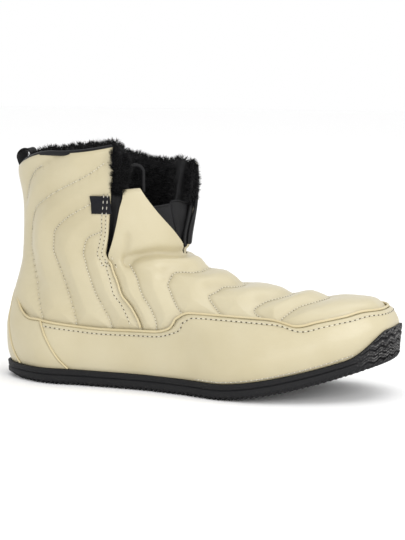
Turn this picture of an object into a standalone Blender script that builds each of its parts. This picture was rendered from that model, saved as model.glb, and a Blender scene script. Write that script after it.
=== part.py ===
"""Apres ski boot, right foot: quilted upper, smooth rand, rubber sole and fur lining.

Metres, +Z up, +X to the toe, -Y to the outer side. The boot stands on z = 0.
The upper is one surface skin(turn, level). A turn of 0 is the back of the heel, 90 the outer
side, 180 the toe and 270 the inner side. A level of 0 is the feather line on the sole, 1 the collar.
Every panel, piping and lining is cut from that surface at its own depth.
"""
import math

import bpy
import numpy as np

for old in list(bpy.data.objects):
    bpy.data.objects.remove(old, do_unlink=True)

# Overall sizes
bootLength = 0.290
ballWidth = 0.106
collarHeight = 0.150
toeSpring = 0.027
springStart = 0.62
soleSide = 0.0095

# The upper stands this much wider than the outline just above the sole, up to this level
swellShare = 0.035
swellLevel = 0.30

# Share of the length behind which a loop rises or falls to the back, and in front of it to the front
backReach = 0.35

# Walls and layers
gap = 0.0003
panelLift = 0.0008
wall = 0.0030
randWall = 0.0012
lipWall = 0.0020
clothWall = 0.0010
insoleThick = 0.0040
pileDepth = 0.0085
pipingRadius = 0.0011

# Depths of the nylon behind the wall and of the pile behind the nylon
clothOut = -wall - panelLift
clothIn = clothOut - clothWall
pileOut = clothIn - 2 * gap

# Sole details
lipRise = 0.0022
skirtLevel = 0.018
bumperRise = 0.0134
bumperTurn = 178.0
bumperSpread = 32.0
bumperSlope = 24.0
ribDepth = 0.0009
lugDepth = 0.0016
lugCount = 44
heelBevel = 0.0035
treadInset = 0.0020
treadRise = 0.0020
lugOut = 0.0004
lugRise = 0.0010
lipRound = 0.0005

# Collar and fur
furRise = 0.0022
lockHeight = 0.0022
lockDepth = 0.0012
furColumns = 59
splayOut = 0.0120
splayDrop = 0.0215
splayStart = 176.0
splayEnd = 300.0
rollOut = 0.0085

# Loops and tab
heelLoopWidth = 0.0150
heelLoopRise = 0.0140
tongueLoopCord = 0.0016
tongueLoopRise = 0.0160
tongueLoopSpan = 0.0120
tongueLoopFoot = 0.0030
tongueLoopTurn = 132.0
heelLoopFootLevel = 0.955
tabLow = 0.81
tabHigh = 0.89
heelLoopSpan = math.degrees(heelLoopWidth / (0.8 * ballWidth))

# The lip of the sole stands clear of the rand, and the upper stands inside both
lipRoom = panelLift + randWall + 2 * gap
lipInset = lipWall + lipRoom

# Outline of the feather line: half widths as shares of the ball width, fuller than the outline
# itself because the round ends are worked out from the sine of the turn
plan = {
    "along": [0.00, 0.12, 0.25, 0.40, 0.52, 0.64, 0.74, 0.85, 0.94, 1.00],
    "outer": [0.48, 0.50, 0.405, 0.37, 0.41, 0.51, 0.545, 0.53, 0.49, 0.46],
    "inner": [0.48, 0.50, 0.385, 0.305, 0.325, 0.435, 0.50, 0.52, 0.55, 0.56],
    "middle": [0.00, 0.00, 0.00, 0.00, 0.00, 0.005, 0.02, 0.045, 0.065, 0.075],
}

# Loops of the upper from the feather line to the collar. backX and frontX are shares of the length,
# backZ, sideZ and frontZ are heights above the feather line as shares of the collar height,
# rear and fore are half widths as shares of the ball width, planShare says how far the loop still
# follows the outline of the sole, and blunt is the power of the sine at its ends.
levels = {
    "level": [0.00, 0.12, 0.25, 0.38, 0.50, 0.60, 0.70, 0.78, 0.84, 0.90, 0.95, 1.00],
    "backX": [0.000, -0.010, -0.013, -0.004, 0.0075, 0.018, 0.027, 0.031, 0.034, 0.036, 0.031, 0.0205],
    "frontX": [1.000, 1.004, 0.992, 0.962, 0.885, 0.775, 0.650, 0.550, 0.478, 0.460, 0.450, 0.445],
    "backZ": [0.00, 0.075, 0.180, 0.275, 0.365, 0.440, 0.505, 0.565, 0.620, 0.725, 0.830, 0.937],
    "sideZ": [0.00, 0.065, 0.150, 0.235, 0.315, 0.385, 0.455, 0.520, 0.580, 0.705, 0.855, 1.030],
    "frontZ": [0.00, 0.085, 0.158, 0.225, 0.283, 0.357, 0.420, 0.478, 0.543, 0.700, 0.885, 1.130],
    "rear": [0.380, 0.385, 0.380, 0.378, 0.380, 0.385, 0.388, 0.388, 0.390, 0.396, 0.405, 0.415],
    "fore": [0.480, 0.490, 0.480, 0.430, 0.370, 0.330, 0.305, 0.320, 0.355, 0.385, 0.400, 0.415],
    "planShare": [1.00, 1.00, 0.95, 0.70, 0.30, 0.00, 0.00, 0.00, 0.00, 0.00, 0.00, 0.00],
    "blunt": [0.70, 0.70, 0.72, 0.76, 0.84, 0.90, 0.92, 0.94, 0.96, 1.00, 1.00, 1.00],
}

# Turns, in degrees, of the edges of the slit on the outer side and the cut-out at the front
tongueColumns = 12
quarterColumns = 44
slitLevel = 0.80
cutLevel = 0.84
tongueTopLevel = 0.950
edges = {
    "level": [0.80, 0.84, 0.87, 0.90, 0.925, 0.945, 0.97, 1.00],
    "quarterOuter": [99.0, 103.5, 106.8, 109.4, 111.6, 113.4, 116.5, 117.5],
    "tongueOuter": [99.0, 105.5, 110.2, 114.6, 118.4, 122.0, 122.0, 122.0],
    "tongueInner": [184.0, 184.0, 172.0, 157.0, 145.0, 134.5, 134.5, 134.5],
    "quarterInner": [184.0, 184.0, 186.0, 188.5, 190.5, 192.5, 195.0, 199.0],
}

# Height of the rand's piped edge above the floor, as shares of the collar height
randEdge = {
    "along": [0.10, 0.14, 0.22, 0.30, 0.40, 0.445, 0.48, 0.535, 0.58, 0.66, 0.72, 0.762, 0.795, 0.84, 0.89, 0.93, 1.00],
    "height": [
        0.310, 0.290, 0.276, 0.270, 0.275, 0.278, 0.292, 0.350, 0.371,
        0.366, 0.361, 0.358, 0.338, 0.357, 0.380, 0.400, 0.402,
    ],
}
randColumns = 58
seamOuter = {
    "share": [0.0, 0.2, 0.5, 1.0],
    "along": [0.326, 0.341, 0.366, 0.403],
    "height": [0.575, 0.515, 0.421, 0.306],
}
seamInner = {
    "share": [0.0, 0.3, 0.6, 1.0],
    "along": [0.500, 0.470, 0.455, 0.440],
    "height": [0.560, 0.500, 0.410, 0.308],
}
randStartTop = 43.0
randStartFoot = 54.0
stayTop = 9.0
stayFoot = 29.0
counterTopBack = 0.415
counterTopSide = 0.293

# Turns left free beside an edge, so that two panels meet with a narrow seam
seamTurn = 1.0

# Steps of turn and level over which a direction on the skin is measured
turnStep = 0.6
levelStep = 0.004

# Colours
creamLeather = (0.78, 0.72, 0.52, 1.0)
creamPiping = (0.82, 0.72, 0.45, 1.0)
blackRubber = (0.018, 0.018, 0.018, 1.0)
blackNylon = (0.020, 0.020, 0.024, 1.0)
blackFur = (0.012, 0.012, 0.014, 1.0)
greyFelt = (0.10, 0.10, 0.10, 1.0)


def column(table, key, name, at):
    """Reads a named column of a table at any place, on a smooth curve that never overshoots."""
    x = np.array(table[key], float)
    y = np.array(table[name], float)
    run = np.diff(x)
    rise = np.diff(y) / run
    slope = np.zeros_like(y)
    same = rise[:-1] * rise[1:] > 0
    both = rise[:-1] + rise[1:]
    slope[1:-1][same] = (2 * rise[:-1] * rise[1:])[same] / both[same]
    slope[0] = rise[0]
    slope[-1] = rise[-1]
    at = np.clip(np.asarray(at, float), x[0], x[-1])
    i = np.clip(np.searchsorted(x, at) - 1, 0, len(run) - 1)
    t = (at - x[i]) / run[i]
    near = (2 * t**3 - 3 * t**2 + 1) * y[i] + (t**3 - 2 * t**2 + t) * run[i] * slope[i]
    far = (3 * t**2 - 2 * t**3) * y[i + 1] + (t**3 - t**2) * run[i] * slope[i + 1]
    return near + far


def ease(value):
    """Rises smoothly from 0 to 1 as the value does."""
    t = np.clip(value, 0.0, 1.0)
    return t * t * (3 - 2 * t)


def springAt(x):
    """Height of the sole's underside above the floor."""
    t = np.clip((x / bootLength - springStart) / (1 - springStart), 0.0, 1.2)
    return toeSpring * t**1.5


def skin(turn, level):
    """A point on the outside of the upper."""
    turn, level = np.broadcast_arrays(np.asarray(turn, float), np.asarray(level, float))
    angle = np.radians(turn)
    along = (1 - np.cos(angle)) / 2
    outerSide = np.sin(angle) >= 0
    share = {name: column(levels, "level", name, level) for name in levels if name != "level"}
    room = bootLength - 2 * lipInset
    back = lipInset + share["backX"] * room
    front = lipInset + share["frontX"] * room
    x = back + (front - back) * along
    planWidth = np.where(outerSide, column(plan, "along", "outer", along), column(plan, "along", "inner", along))
    loopWidth = share["rear"] + (share["fore"] - share["rear"]) * ease((along - 0.25) / 0.6)
    swell = 1 + swellShare * np.sin(np.pi * np.clip(level / swellLevel, 0, 1))
    width = planWidth * swell * share["planShare"] + loopWidth * (1 - share["planShare"])
    reach = (ballWidth - 2 * lipInset) * width * np.abs(np.sin(angle)) ** share["blunt"]
    middle = ballWidth * column(plan, "along", "middle", along) * share["planShare"]
    y = middle + np.where(outerSide, -reach, reach)
    toBack = np.clip(1 - along / backReach, 0, 1) ** 2
    toFront = np.clip((along - backReach) / (1 - backReach), 0, 1) ** 2
    sideZ = share["sideZ"]
    rise = sideZ + (share["backZ"] - sideZ) * toBack + (share["frontZ"] - sideZ) * toFront
    z = soleSide + springAt(x) + rise * collarHeight
    opened = ease((level - cutLevel) / (1 - cutLevel)) * ease((turn - splayStart) / 16) * ease((splayEnd - turn) / 90)
    x = x + splayOut * 0.8 * opened
    y = y + splayOut * 0.6 * opened
    z = z - splayDrop * opened
    return np.stack([x, y, z], axis=-1)


def layer(turn, level, depth):
    """A point at a depth from the skin: out of the boot above 0, into it below 0."""
    turn, level, depth = np.broadcast_arrays(*[np.asarray(v, float) for v in (turn, level, depth)])
    around = skin(turn + turnStep, level) - skin(turn - turnStep, level)
    upward = skin(turn, np.minimum(level + levelStep, 1.0)) - skin(turn, np.maximum(level - levelStep, 0.0))
    normal = np.cross(around, upward)
    normal /= np.linalg.norm(normal, axis=-1, keepdims=True)
    return skin(turn, level) + normal * depth[..., None]


def feather(turn, out, height):
    """A point on the sole's outline, moved out of the feather line and set to a height above the sole's foot."""
    here = skin(turn, 0.0)
    along = skin(np.asarray(turn) + turnStep, 0.0) - skin(np.asarray(turn) - turnStep, 0.0)
    normal = np.stack([along[..., 1], -along[..., 0]], axis=-1)
    normal /= np.linalg.norm(normal, axis=-1, keepdims=True)
    x = here[..., 0] + normal[..., 0] * out
    y = here[..., 1] + normal[..., 1] * out
    return np.stack([x, y, springAt(x) + height], axis=-1)


def levelAt(turn, height):
    """The level at which the skin reaches a height above the floor, for each turn."""
    steps = np.linspace(0, 1, 201)
    found = [np.interp(h, skin(t, steps)[:, 2], steps) for t, h in zip(np.ravel(turn), np.ravel(height))]
    return np.array(found)


def place(x, z, side):
    """The turn and the level of the skin at a length and a height, on the outer side (1) or the inner (-1)."""
    level = np.clip(np.asarray(z) / (1.15 * collarHeight), 0.05, 0.95)
    room = bootLength - 2 * lipInset
    for _ in range(12):
        back = lipInset + column(levels, "level", "backX", level) * room
        front = lipInset + column(levels, "level", "frontX", level) * room
        half = np.degrees(np.arccos(np.clip(1 - 2 * (x - back) / (front - back), -1, 1)))
        turn = half if side > 0 else 360 - half
        level = (level + levelAt(turn, z)) / 2
    return turn, level


def material(name, colour, roughness):
    made = bpy.data.materials.get(name)
    if made is None:
        made = bpy.data.materials.new(name)
        made.use_nodes = True
        shader = made.node_tree.nodes["Principled BSDF"]
        shader.inputs["Base Color"].default_value = colour
        shader.inputs["Roughness"].default_value = roughness
        shader.inputs["Metallic"].default_value = 0.0
    return made


def addObject(name, points, faces, finish):
    mesh = bpy.data.meshes.new(name)
    mesh.from_pydata([tuple(p) for p in points], [], faces)
    mesh.validate()
    mesh.shade_smooth()
    mesh.set_sharp_from_angle(angle=math.radians(40))
    mesh.materials.append(finish)
    made = bpy.data.objects.new(name, mesh)
    bpy.context.scene.collection.objects.link(made)
    return made


def gridFaces(rows, columns, wrap):
    """Quads of a grid whose rows run up and whose columns run around, facing out of the boot."""
    last = columns if wrap else columns - 1
    faces = []
    for r in range(rows - 1):
        for c in range(last):
            d = (c + 1) % columns
            faces.append((r * columns + c, r * columns + d, (r + 1) * columns + d, (r + 1) * columns + c))
    return faces


def thicken(name, outer, inner, faces, finish):
    """Joins an outer and an inner sheet of the same grid into one closed wall."""
    count = len(outer)
    solid = list(faces) + [tuple(count + i for i in reversed(face)) for face in faces]
    used = {(face[i], face[(i + 1) % len(face)]) for face in faces for i in range(len(face))}
    solid += [(b, a, count + a, count + b) for a, b in used if (b, a) not in used]
    return addObject(name, np.concatenate([outer, inner]), solid, finish)


def panel(name, turns, levelRows, outDepth, inDepth, finish, wrap=False):
    """A piece of the skin between two depths. Turns and levels are grids of the same shape."""
    turns = np.asarray(turns, float)
    levelRows = np.asarray(levelRows, float)
    rows, columns = turns.shape
    outer = layer(turns, levelRows, outDepth).reshape(-1, 3)
    inner = layer(turns, levelRows, inDepth).reshape(-1, 3)
    return thicken(name, outer, inner, gridFaces(rows, columns, wrap), finish)


def between(low, high, count):
    """Rows of values from a low edge to a high edge."""
    share = np.linspace(0, 1, count)[:, None]
    return np.asarray(low)[None, :] * (1 - share) + np.asarray(high)[None, :] * share


def piping(name, path, radius, sides, finish):
    """A round cord along a path, with flat ends."""
    path = np.asarray(path)
    heading = np.gradient(path, axis=0)
    heading /= np.linalg.norm(heading, axis=1, keepdims=True)
    side = np.cross(heading, (0.0, 0.0, 1.0))
    side /= np.linalg.norm(side, axis=1, keepdims=True)
    top = np.cross(side, heading)
    corner = np.linspace(0, 2 * np.pi, sides, endpoint=False)
    ring = np.cos(corner)[None, :, None] * side[:, None] + np.sin(corner)[None, :, None] * top[:, None]
    points = (path[:, None] + radius * ring).reshape(-1, 3)
    count = len(path)
    faces = []
    for i in range(count - 1):
        for k in range(sides):
            n = (k + 1) % sides
            faces.append((i * sides + k, (i + 1) * sides + k, (i + 1) * sides + n, i * sides + n))
    faces.append(tuple(range(sides)))
    faces.append(tuple((count - 1) * sides + k for k in range(sides))[::-1])
    return addObject(name, points, faces, finish)


def strap(name, path, across, width, thick, finish):
    """A flat band along a path that lies in one plane. The band's width runs across it."""
    path = np.asarray(path)
    across = np.asarray(across) / np.linalg.norm(across)
    heading = np.gradient(path, axis=0)
    heading /= np.linalg.norm(heading, axis=1, keepdims=True)
    normal = np.cross(heading, across)
    corners = [(-0.5, -0.5), (0.5, -0.5), (0.5, 0.5), (-0.5, 0.5)]
    rings = [path + across * width * a + normal * thick * b for a, b in corners]
    points = np.stack(rings, axis=1).reshape(-1, 3)
    faces = []
    for i in range(len(path) - 1):
        for k in range(4):
            n = (k + 1) % 4
            faces.append((i * 4 + k, i * 4 + n, (i + 1) * 4 + n, (i + 1) * 4 + k))
    faces.append((3, 2, 1, 0))
    last = 4 * (len(path) - 1)
    faces.append((last, last + 1, last + 2, last + 3))
    return addObject(name, points, faces, finish)


def ladder(points, faces, ring, rungs, upward, lift):
    """Closes a ring that runs from the heel round the outer side, with rungs from side to side at a lift."""
    half = len(ring) // 2
    rows = [[ring[0]]]
    for i in range(1, half):
        a = ring[i]
        b = ring[-i]
        made = [a]
        for k in range(1, rungs):
            rung = points[a] * (1 - k / rungs) + points[b] * (k / rungs)
            points.append(np.array([rung[0], rung[1], springAt(rung[0]) + lift]))
            made.append(len(points) - 1)
        rows.append(made + [b])
    rows.append([ring[half]])
    for low, high in zip(rows[:-1], rows[1:]):
        for k in range(rungs):
            corners = [low[min(k, len(low) - 1)], high[min(k, len(high) - 1)]]
            corners += [high[min(k + 1, len(high) - 1)], low[min(k + 1, len(low) - 1)]]
            kept = [c for n, c in enumerate(corners) if c not in corners[:n]]
            faces.append(tuple(kept) if upward else tuple(reversed(kept)))


def outsole(finish):
    """Rubber sole: a lugged foot, a ribbed side, a lip round the rand and a bumper over the toe."""
    count = 2 * lugCount
    turns = np.arange(count) * 360 / count
    toe = ease((bumperSpread - np.abs(turns - bumperTurn)) / bumperSlope)
    heel = ease((55 - np.abs((turns + 180) % 360 - 180)) / 50)
    full = lipInset
    lug = np.where(np.arange(count) % 2 == 0, 0.0, 1.0)
    rings = []
    rings.append(feather(turns, full - treadInset - heelBevel * heel, lugDepth * lug))
    rings.append(feather(turns, full - lugOut * (1 - lug), treadRise + lugRise * lug + 0.5 * heelBevel * heel))
    rings.append(feather(turns, full, 0.55 * soleSide))
    rings.append(feather(turns, full - ribDepth * (0.3 + 0.7 * toe), 0.72 * soleSide))
    rings.append(feather(turns, full, 0.90 * soleSide))
    reach = (lipRise + bumperRise * toe) / collarHeight
    lipLevel = levelAt(turns, skin(turns, 0.0)[:, 2] + reach * collarHeight)
    rings.append(layer(turns, lipLevel * 0.35, full - ribDepth * toe))
    rings.append(layer(turns, lipLevel * 0.60, full))
    rings.append(layer(turns, lipLevel * 0.80, full - ribDepth * toe))
    rings.append(layer(turns, lipLevel, full - lipRound))
    rings.append(layer(turns, lipLevel, lipRoom))
    rings.append(layer(turns, lipLevel * 0.45, lipRoom))
    rings.append(feather(turns, lipRoom, soleSide - gap))
    points = [p for ring in rings for p in ring]
    faces = gridFaces(len(rings), count, True)
    ladder(points, faces, list(range(count)), 4, False, 0.0)
    last = (len(rings) - 1) * count
    ladder(points, faces, list(range(last, last + count)), 2, True, soleSide - gap)
    return addObject("outsole", points, faces, finish)


def insole(finish):
    """Footbed that lies on the sole inside the upper."""
    count = 48
    turns = np.arange(count) * 360 / count
    inside = -wall - 2 * gap
    low = feather(turns, inside, soleSide + gap)
    high = feather(turns, inside - gap, soleSide + gap + insoleThick)
    points = list(low) + list(high)
    faces = gridFaces(2, count, True)
    ladder(points, faces, list(range(count)), 2, False, soleSide + gap)
    ladder(points, faces, list(range(count, 2 * count)), 2, True, soleSide + gap + insoleThick)
    return addObject("insole", points, faces, finish)


def upper(finish):
    """Vamp, quarters and front panel as one hollow wall, open at the collar, the slit, the cut-out and below."""
    bandShares = np.array([0, 0.08, 0.16, 0.24, 0.33, 0.43, 0.53, 0.63, 0.73, 0.82, 0.91, 1.0])
    flapShares = np.linspace(0, 1, 5)
    slit = edges["quarterOuter"][0]
    cut = edges["quarterInner"][0]
    tongueShare = np.linspace(0, 1, tongueColumns + 1)
    quarterShare = np.linspace(0, 1, quarterColumns + 1)
    tongueFoot = slitLevel + (cutLevel - slitLevel) * tongueShare
    quarterFoot = cutLevel + (slitLevel - cutLevel) * quarterShare
    bandTurns = np.concatenate([slit + (cut - slit) * tongueShare[:-1], cut + (slit + 360 - cut) * quarterShare[:-1]])
    bandTop = np.concatenate([tongueFoot[:-1], quarterFoot[:-1]])
    around = len(bandTurns)
    gridTurns = [np.tile(bandTurns, len(bandShares))]
    gridLevels = [(bandShares[:, None] * bandTop[None, :]).ravel()]
    faces = gridFaces(len(bandShares), around, True)
    topRow = (len(bandShares) - 1) * around

    def addFlap(foot, topLevel, startName, endName, turnBack, share, firstColumn):
        rowLevels = foot[None, :] + (topLevel - foot)[None, :] * flapShares[1:, None]
        start = column(edges, "level", startName, rowLevels[:, :1])
        end = column(edges, "level", endName, rowLevels[:, -1:]) + turnBack
        turns = start + (end - start) * share[None, :]
        below = [topRow + (firstColumn + k) % around for k in range(len(share))]
        base = sum(len(part) for part in gridTurns)
        gridTurns.append(turns.ravel())
        gridLevels.append(rowLevels.ravel())
        rows = [below] + [[base + r * len(share) + k for k in range(len(share))] for r in range(len(rowLevels))]
        for low, high in zip(rows[:-1], rows[1:]):
            for k in range(len(share) - 1):
                faces.append((low[k], low[k + 1], high[k + 1], high[k]))

    addFlap(tongueFoot, tongueTopLevel, "tongueOuter", "tongueInner", 0, tongueShare, 0)
    addFlap(quarterFoot, 1.0, "quarterInner", "quarterOuter", 360, quarterShare, tongueColumns)
    turns = np.concatenate(gridTurns)
    levelRow = np.concatenate(gridLevels)
    return thicken("upper", layer(turns, levelRow, 0.0), layer(turns, levelRow, -wall), faces, finish)


def randHeight(turns):
    """Height of the rand's upper edge above the floor."""
    along = skin(turns, 0.38)[..., 0] / bootLength
    return collarHeight * column(randEdge, "along", "height", along)


def rand(finish):
    """Smooth strip round the foot from one heel counter to the other."""
    count = randColumns
    top = np.linspace(randStartTop + 1.5 * seamTurn, 360 - 1.5 * seamTurn - randStartTop, count)
    foot = np.linspace(randStartFoot + 1.5 * seamTurn, 360 - 1.5 * seamTurn - randStartFoot, count)
    high = levelAt(top, randHeight(top) - gap)
    turns = between(foot, top, 7)
    rows = between(np.full(count, skirtLevel), high, 7)
    return panel("rand", turns, rows, panelLift + randWall, panelLift, finish)


def heelPanels(finish):
    """Counter on each side of the heel and the stay between them."""
    for name, sign in (("heel_counter_outer", 1), ("heel_counter_inner", -1)):
        count = 9
        share = np.linspace(0, 1, count)
        foot = stayFoot + seamTurn + (randStartFoot - stayFoot - 2 * seamTurn) * share
        top = stayTop + seamTurn + (randStartTop - stayTop - 2 * seamTurn) * share
        height = collarHeight * (counterTopBack + (counterTopSide - counterTopBack) * ease(share * 1.15))
        high = levelAt(top, height - gap)
        turns = between(foot, top, 6) * sign
        rows = between(np.full(count, skirtLevel), high, 6)
        if sign < 0:
            turns = turns[:, ::-1] + 360
            rows = rows[:, ::-1]
        panel(name, turns, rows, panelLift + randWall, panelLift, finish)
    count = 17
    foot = np.linspace(-stayFoot + seamTurn, stayFoot - seamTurn, count)
    top = np.linspace(-stayTop + seamTurn, stayTop - seamTurn, count)
    high = levelAt(top, np.full(count, collarHeight * counterTopBack))
    rows = between(np.full(count, skirtLevel), high, 6)
    panel("heel_stay", between(foot, top, 6), rows, panelLift + randWall, panelLift, finish)


def pipings(finish):
    """Cream cords along the seams."""
    lift = panelLift + pipingRadius
    turns = np.linspace(randStartTop + 1.5 * seamTurn, 360 - 1.5 * seamTurn - randStartTop, randColumns)
    edge = layer(turns, levelAt(turns, randHeight(turns)), 0.0)
    run = np.gradient(edge, axis=0)
    steep = np.abs(run[:, 2]) / np.linalg.norm(run[:, :2], axis=1)
    heights = randHeight(turns) + (pipingRadius + gap) * np.sqrt(1 + steep**2)
    piping("rand_piping", layer(turns, levelAt(turns, heights), lift), pipingRadius, 5, finish)
    seams = {
        "vamp_piping_outer": (seamOuter, 1),
        "vamp_piping_inner": (seamInner, -1),
    }
    for name, (seam, side) in seams.items():
        share = np.linspace(0, 1, 15)
        x = column(seam, "share", "along", share) * bootLength
        z = column(seam, "share", "height", share) * collarHeight
        turns, rows = place(x, z, side)
        piping(name, layer(turns, rows, pipingRadius + 3 * gap), pipingRadius, 5, finish)


def gussets(finish):
    """Nylon behind the slit and the cut-out, inside the wall."""
    share = np.linspace(0, 1, 5)
    rows = np.linspace(0.775, 0.932, 9)[:, None]
    start = column(edges, "level", "quarterOuter", rows) - 7
    end = column(edges, "level", "tongueOuter", rows) + 4
    turns = start + (end - start) * share
    panel("gusset_outer", turns, np.repeat(rows, 5, axis=1), clothOut, clothIn, finish)
    share = np.linspace(0, 1, 10)
    top = 0.924 + 0.006 * share + 0.030 * ease((share - 0.55) / 0.40)
    rows = 0.822 + (top - 0.822) * np.linspace(0, 1, 9)[:, None]
    start = column(edges, "level", "tongueInner", rows[:, :1]) - 7
    start = np.maximum(start, column(edges, "level", "tongueOuter", rows[:, :1]) + 6)
    end = column(edges, "level", "quarterInner", rows[:, -1:]) + 7
    turns = start + (end - start) * share
    panel("gusset_inner", turns, rows, clothOut, clothIn, finish)


def furLining(finish):
    """Deep pile inside the quarters, standing over the collar and rolled round the outer front edge."""
    inside = pileOut - pileDepth
    share = np.linspace(0, 1, furColumns)
    foot = 0.90 - 0.06 * ease(share * 5) * ease((1 - share) * 5)
    rows = np.linspace(0, 1, 6)[:, None]
    levelGrid = foot + (1 - foot) * rows
    start = column(edges, "level", "quarterInner", levelGrid) + 1.0
    reach = ease((levelGrid - 0.945) / 0.03) * 9.0
    end = column(edges, "level", "quarterOuter", levelGrid) + 359.0 + reach
    turns = start + (end - start) * share
    past = ease((share - 0.976) / 0.018) * reach / 9.0
    lock = np.where(np.arange(furColumns) % 2 == 0, 0.0, 1.0)[None, :]
    outerDepth = pileOut + rollOut * past
    innerDepth = inside + lockDepth * lock * np.sign(rows) + rollOut * 0.4 * past
    outer = layer(turns, levelGrid, outerDepth)
    inner = layer(turns, levelGrid, innerDepth)
    clear = 1 - ease((heelLoopSpan + 9 - np.abs(turns[-1] - 360)) / 5)
    upright = np.array([0.0, 0.0, 1.0])
    outerRise = gap + (furRise + lockHeight * lock[0]) * clear
    innerRise = gap + (furRise * 0.8 + lockHeight * (1 - lock[0])) * clear
    crownOuter = outer[-1] + (inner[-1] - outer[-1]) * 0.12 + upright * outerRise[:, None]
    crownInner = inner[-1] + (outer[-1] - inner[-1]) * 0.12 + upright * innerRise[:, None]
    outer = np.concatenate([outer, crownOuter[None]]).reshape(-1, 3)
    inner = np.concatenate([inner, crownInner[None]]).reshape(-1, 3)
    thicken("fur_lining", outer, inner, gridFaces(len(rows) + 1, furColumns, False), finish)


def loops(finish):
    """Webbing loop over the back of the collar and the pull loop on the front panel."""
    legs = np.linspace(heelLoopFootLevel, 1.0, 3)
    outerLeg = gap + clothWall / 2
    innerLeg = -wall - gap - clothWall / 2
    middle = (outerLeg + innerLeg) / 2
    radius = heelLoopRise * 0.35
    swing = np.radians(np.linspace(-20, 200, 9))
    level = np.concatenate([legs, np.ones(9), legs[::-1]])
    depth = np.concatenate([np.full(3, outerLeg), middle + radius * np.cos(swing), np.full(3, innerLeg)])
    height = np.concatenate([np.zeros(3), heelLoopRise - radius + radius * np.sin(swing), np.zeros(3)])
    heading = np.stack([np.gradient(depth), np.gradient(height + level * collarHeight)])
    heading /= np.linalg.norm(heading, axis=0)
    half = clothWall / 2
    turns = np.tile(np.linspace(-heelLoopSpan, heelLoopSpan, 3), (len(level), 1))
    sheets = []
    for side in (half, -half):
        sheet = layer(turns, level[:, None], (depth + side * heading[1])[:, None])
        sheet[..., 2] += (height - side * heading[0])[:, None]
        sheets.append(sheet.reshape(-1, 3))
    thicken("heel_loop", sheets[0], sheets[1], gridFaces(len(level), 3, False), finish)
    behind = -wall - gap - clothWall
    base = layer(tongueLoopTurn, tongueTopLevel, behind)
    beside = layer(tongueLoopTurn + 2, tongueTopLevel, behind) - base
    beside /= np.linalg.norm(beside)
    upward = np.array([0.0, 0.0, 1.0])
    reach = tongueLoopSpan / 2
    arc = [base - beside * reach - upward * tongueLoopFoot, base - beside * reach]
    for a in np.linspace(math.radians(180), 0.0, 9):
        arc.append(base + beside * reach * math.cos(a) + upward * (tongueLoopRise - reach + reach * math.sin(a)))
    arc += [base + beside * reach, base + beside * reach - upward * tongueLoopFoot]
    across = np.cross(beside, upward)
    strap("tongue_loop", arc, across, tongueLoopCord, tongueLoopCord, finish)


def sideTab(finish):
    """Small woven tab at the outer quarter's front edge."""
    turns = np.linspace(98.5, 110.5, 6)
    low = levelAt(turns, np.full(6, tabLow * collarHeight))
    high = levelAt(turns, np.full(6, tabHigh * collarHeight))
    panel("side_tab", between(turns, turns, 2), between(low, high, 2), panelLift + clothWall, panelLift, finish)


def centre():
    """Stands the boot's box over the origin."""
    made = [o for o in bpy.context.scene.objects if o.type == "MESH"]
    points = np.concatenate([np.array([v.co[:] for v in o.data.vertices]) for o in made])
    middle = (points.min(axis=0) + points.max(axis=0)) / 2
    for o in made:
        for v in o.data.vertices:
            v.co.x -= middle[0]
            v.co.y -= middle[1]


leather = material("cream_leather", creamLeather, 0.45)
cord = material("cream_piping", creamPiping, 0.45)
rubber = material("black_rubber", blackRubber, 0.75)
nylon = material("black_nylon", blackNylon, 0.5)
fur = material("black_fur", blackFur, 0.9)
felt = material("grey_felt", greyFelt, 0.9)

outsole(rubber)
insole(felt)
upper(leather)
rand(leather)
heelPanels(leather)
pipings(cord)
gussets(nylon)
furLining(fur)
loops(nylon)
sideTab(nylon)
centre()
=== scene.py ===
import math

import bpy
import bmesh
import numpy as np
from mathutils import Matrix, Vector


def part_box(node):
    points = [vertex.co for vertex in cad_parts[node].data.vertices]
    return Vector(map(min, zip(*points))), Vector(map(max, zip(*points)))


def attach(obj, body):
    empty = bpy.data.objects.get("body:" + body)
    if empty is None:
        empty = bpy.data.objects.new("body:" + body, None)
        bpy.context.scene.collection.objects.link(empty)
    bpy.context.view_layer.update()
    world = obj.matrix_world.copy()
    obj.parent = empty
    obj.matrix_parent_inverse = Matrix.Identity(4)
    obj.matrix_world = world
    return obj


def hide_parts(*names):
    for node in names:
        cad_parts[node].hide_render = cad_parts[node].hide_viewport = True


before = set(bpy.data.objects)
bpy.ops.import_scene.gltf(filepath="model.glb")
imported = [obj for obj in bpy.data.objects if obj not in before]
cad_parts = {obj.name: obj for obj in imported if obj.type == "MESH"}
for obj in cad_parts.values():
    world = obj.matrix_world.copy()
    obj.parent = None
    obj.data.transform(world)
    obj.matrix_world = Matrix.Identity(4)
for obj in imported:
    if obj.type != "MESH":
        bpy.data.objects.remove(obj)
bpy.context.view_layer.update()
print("frame loaded with", len(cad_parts), "nodes")

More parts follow.
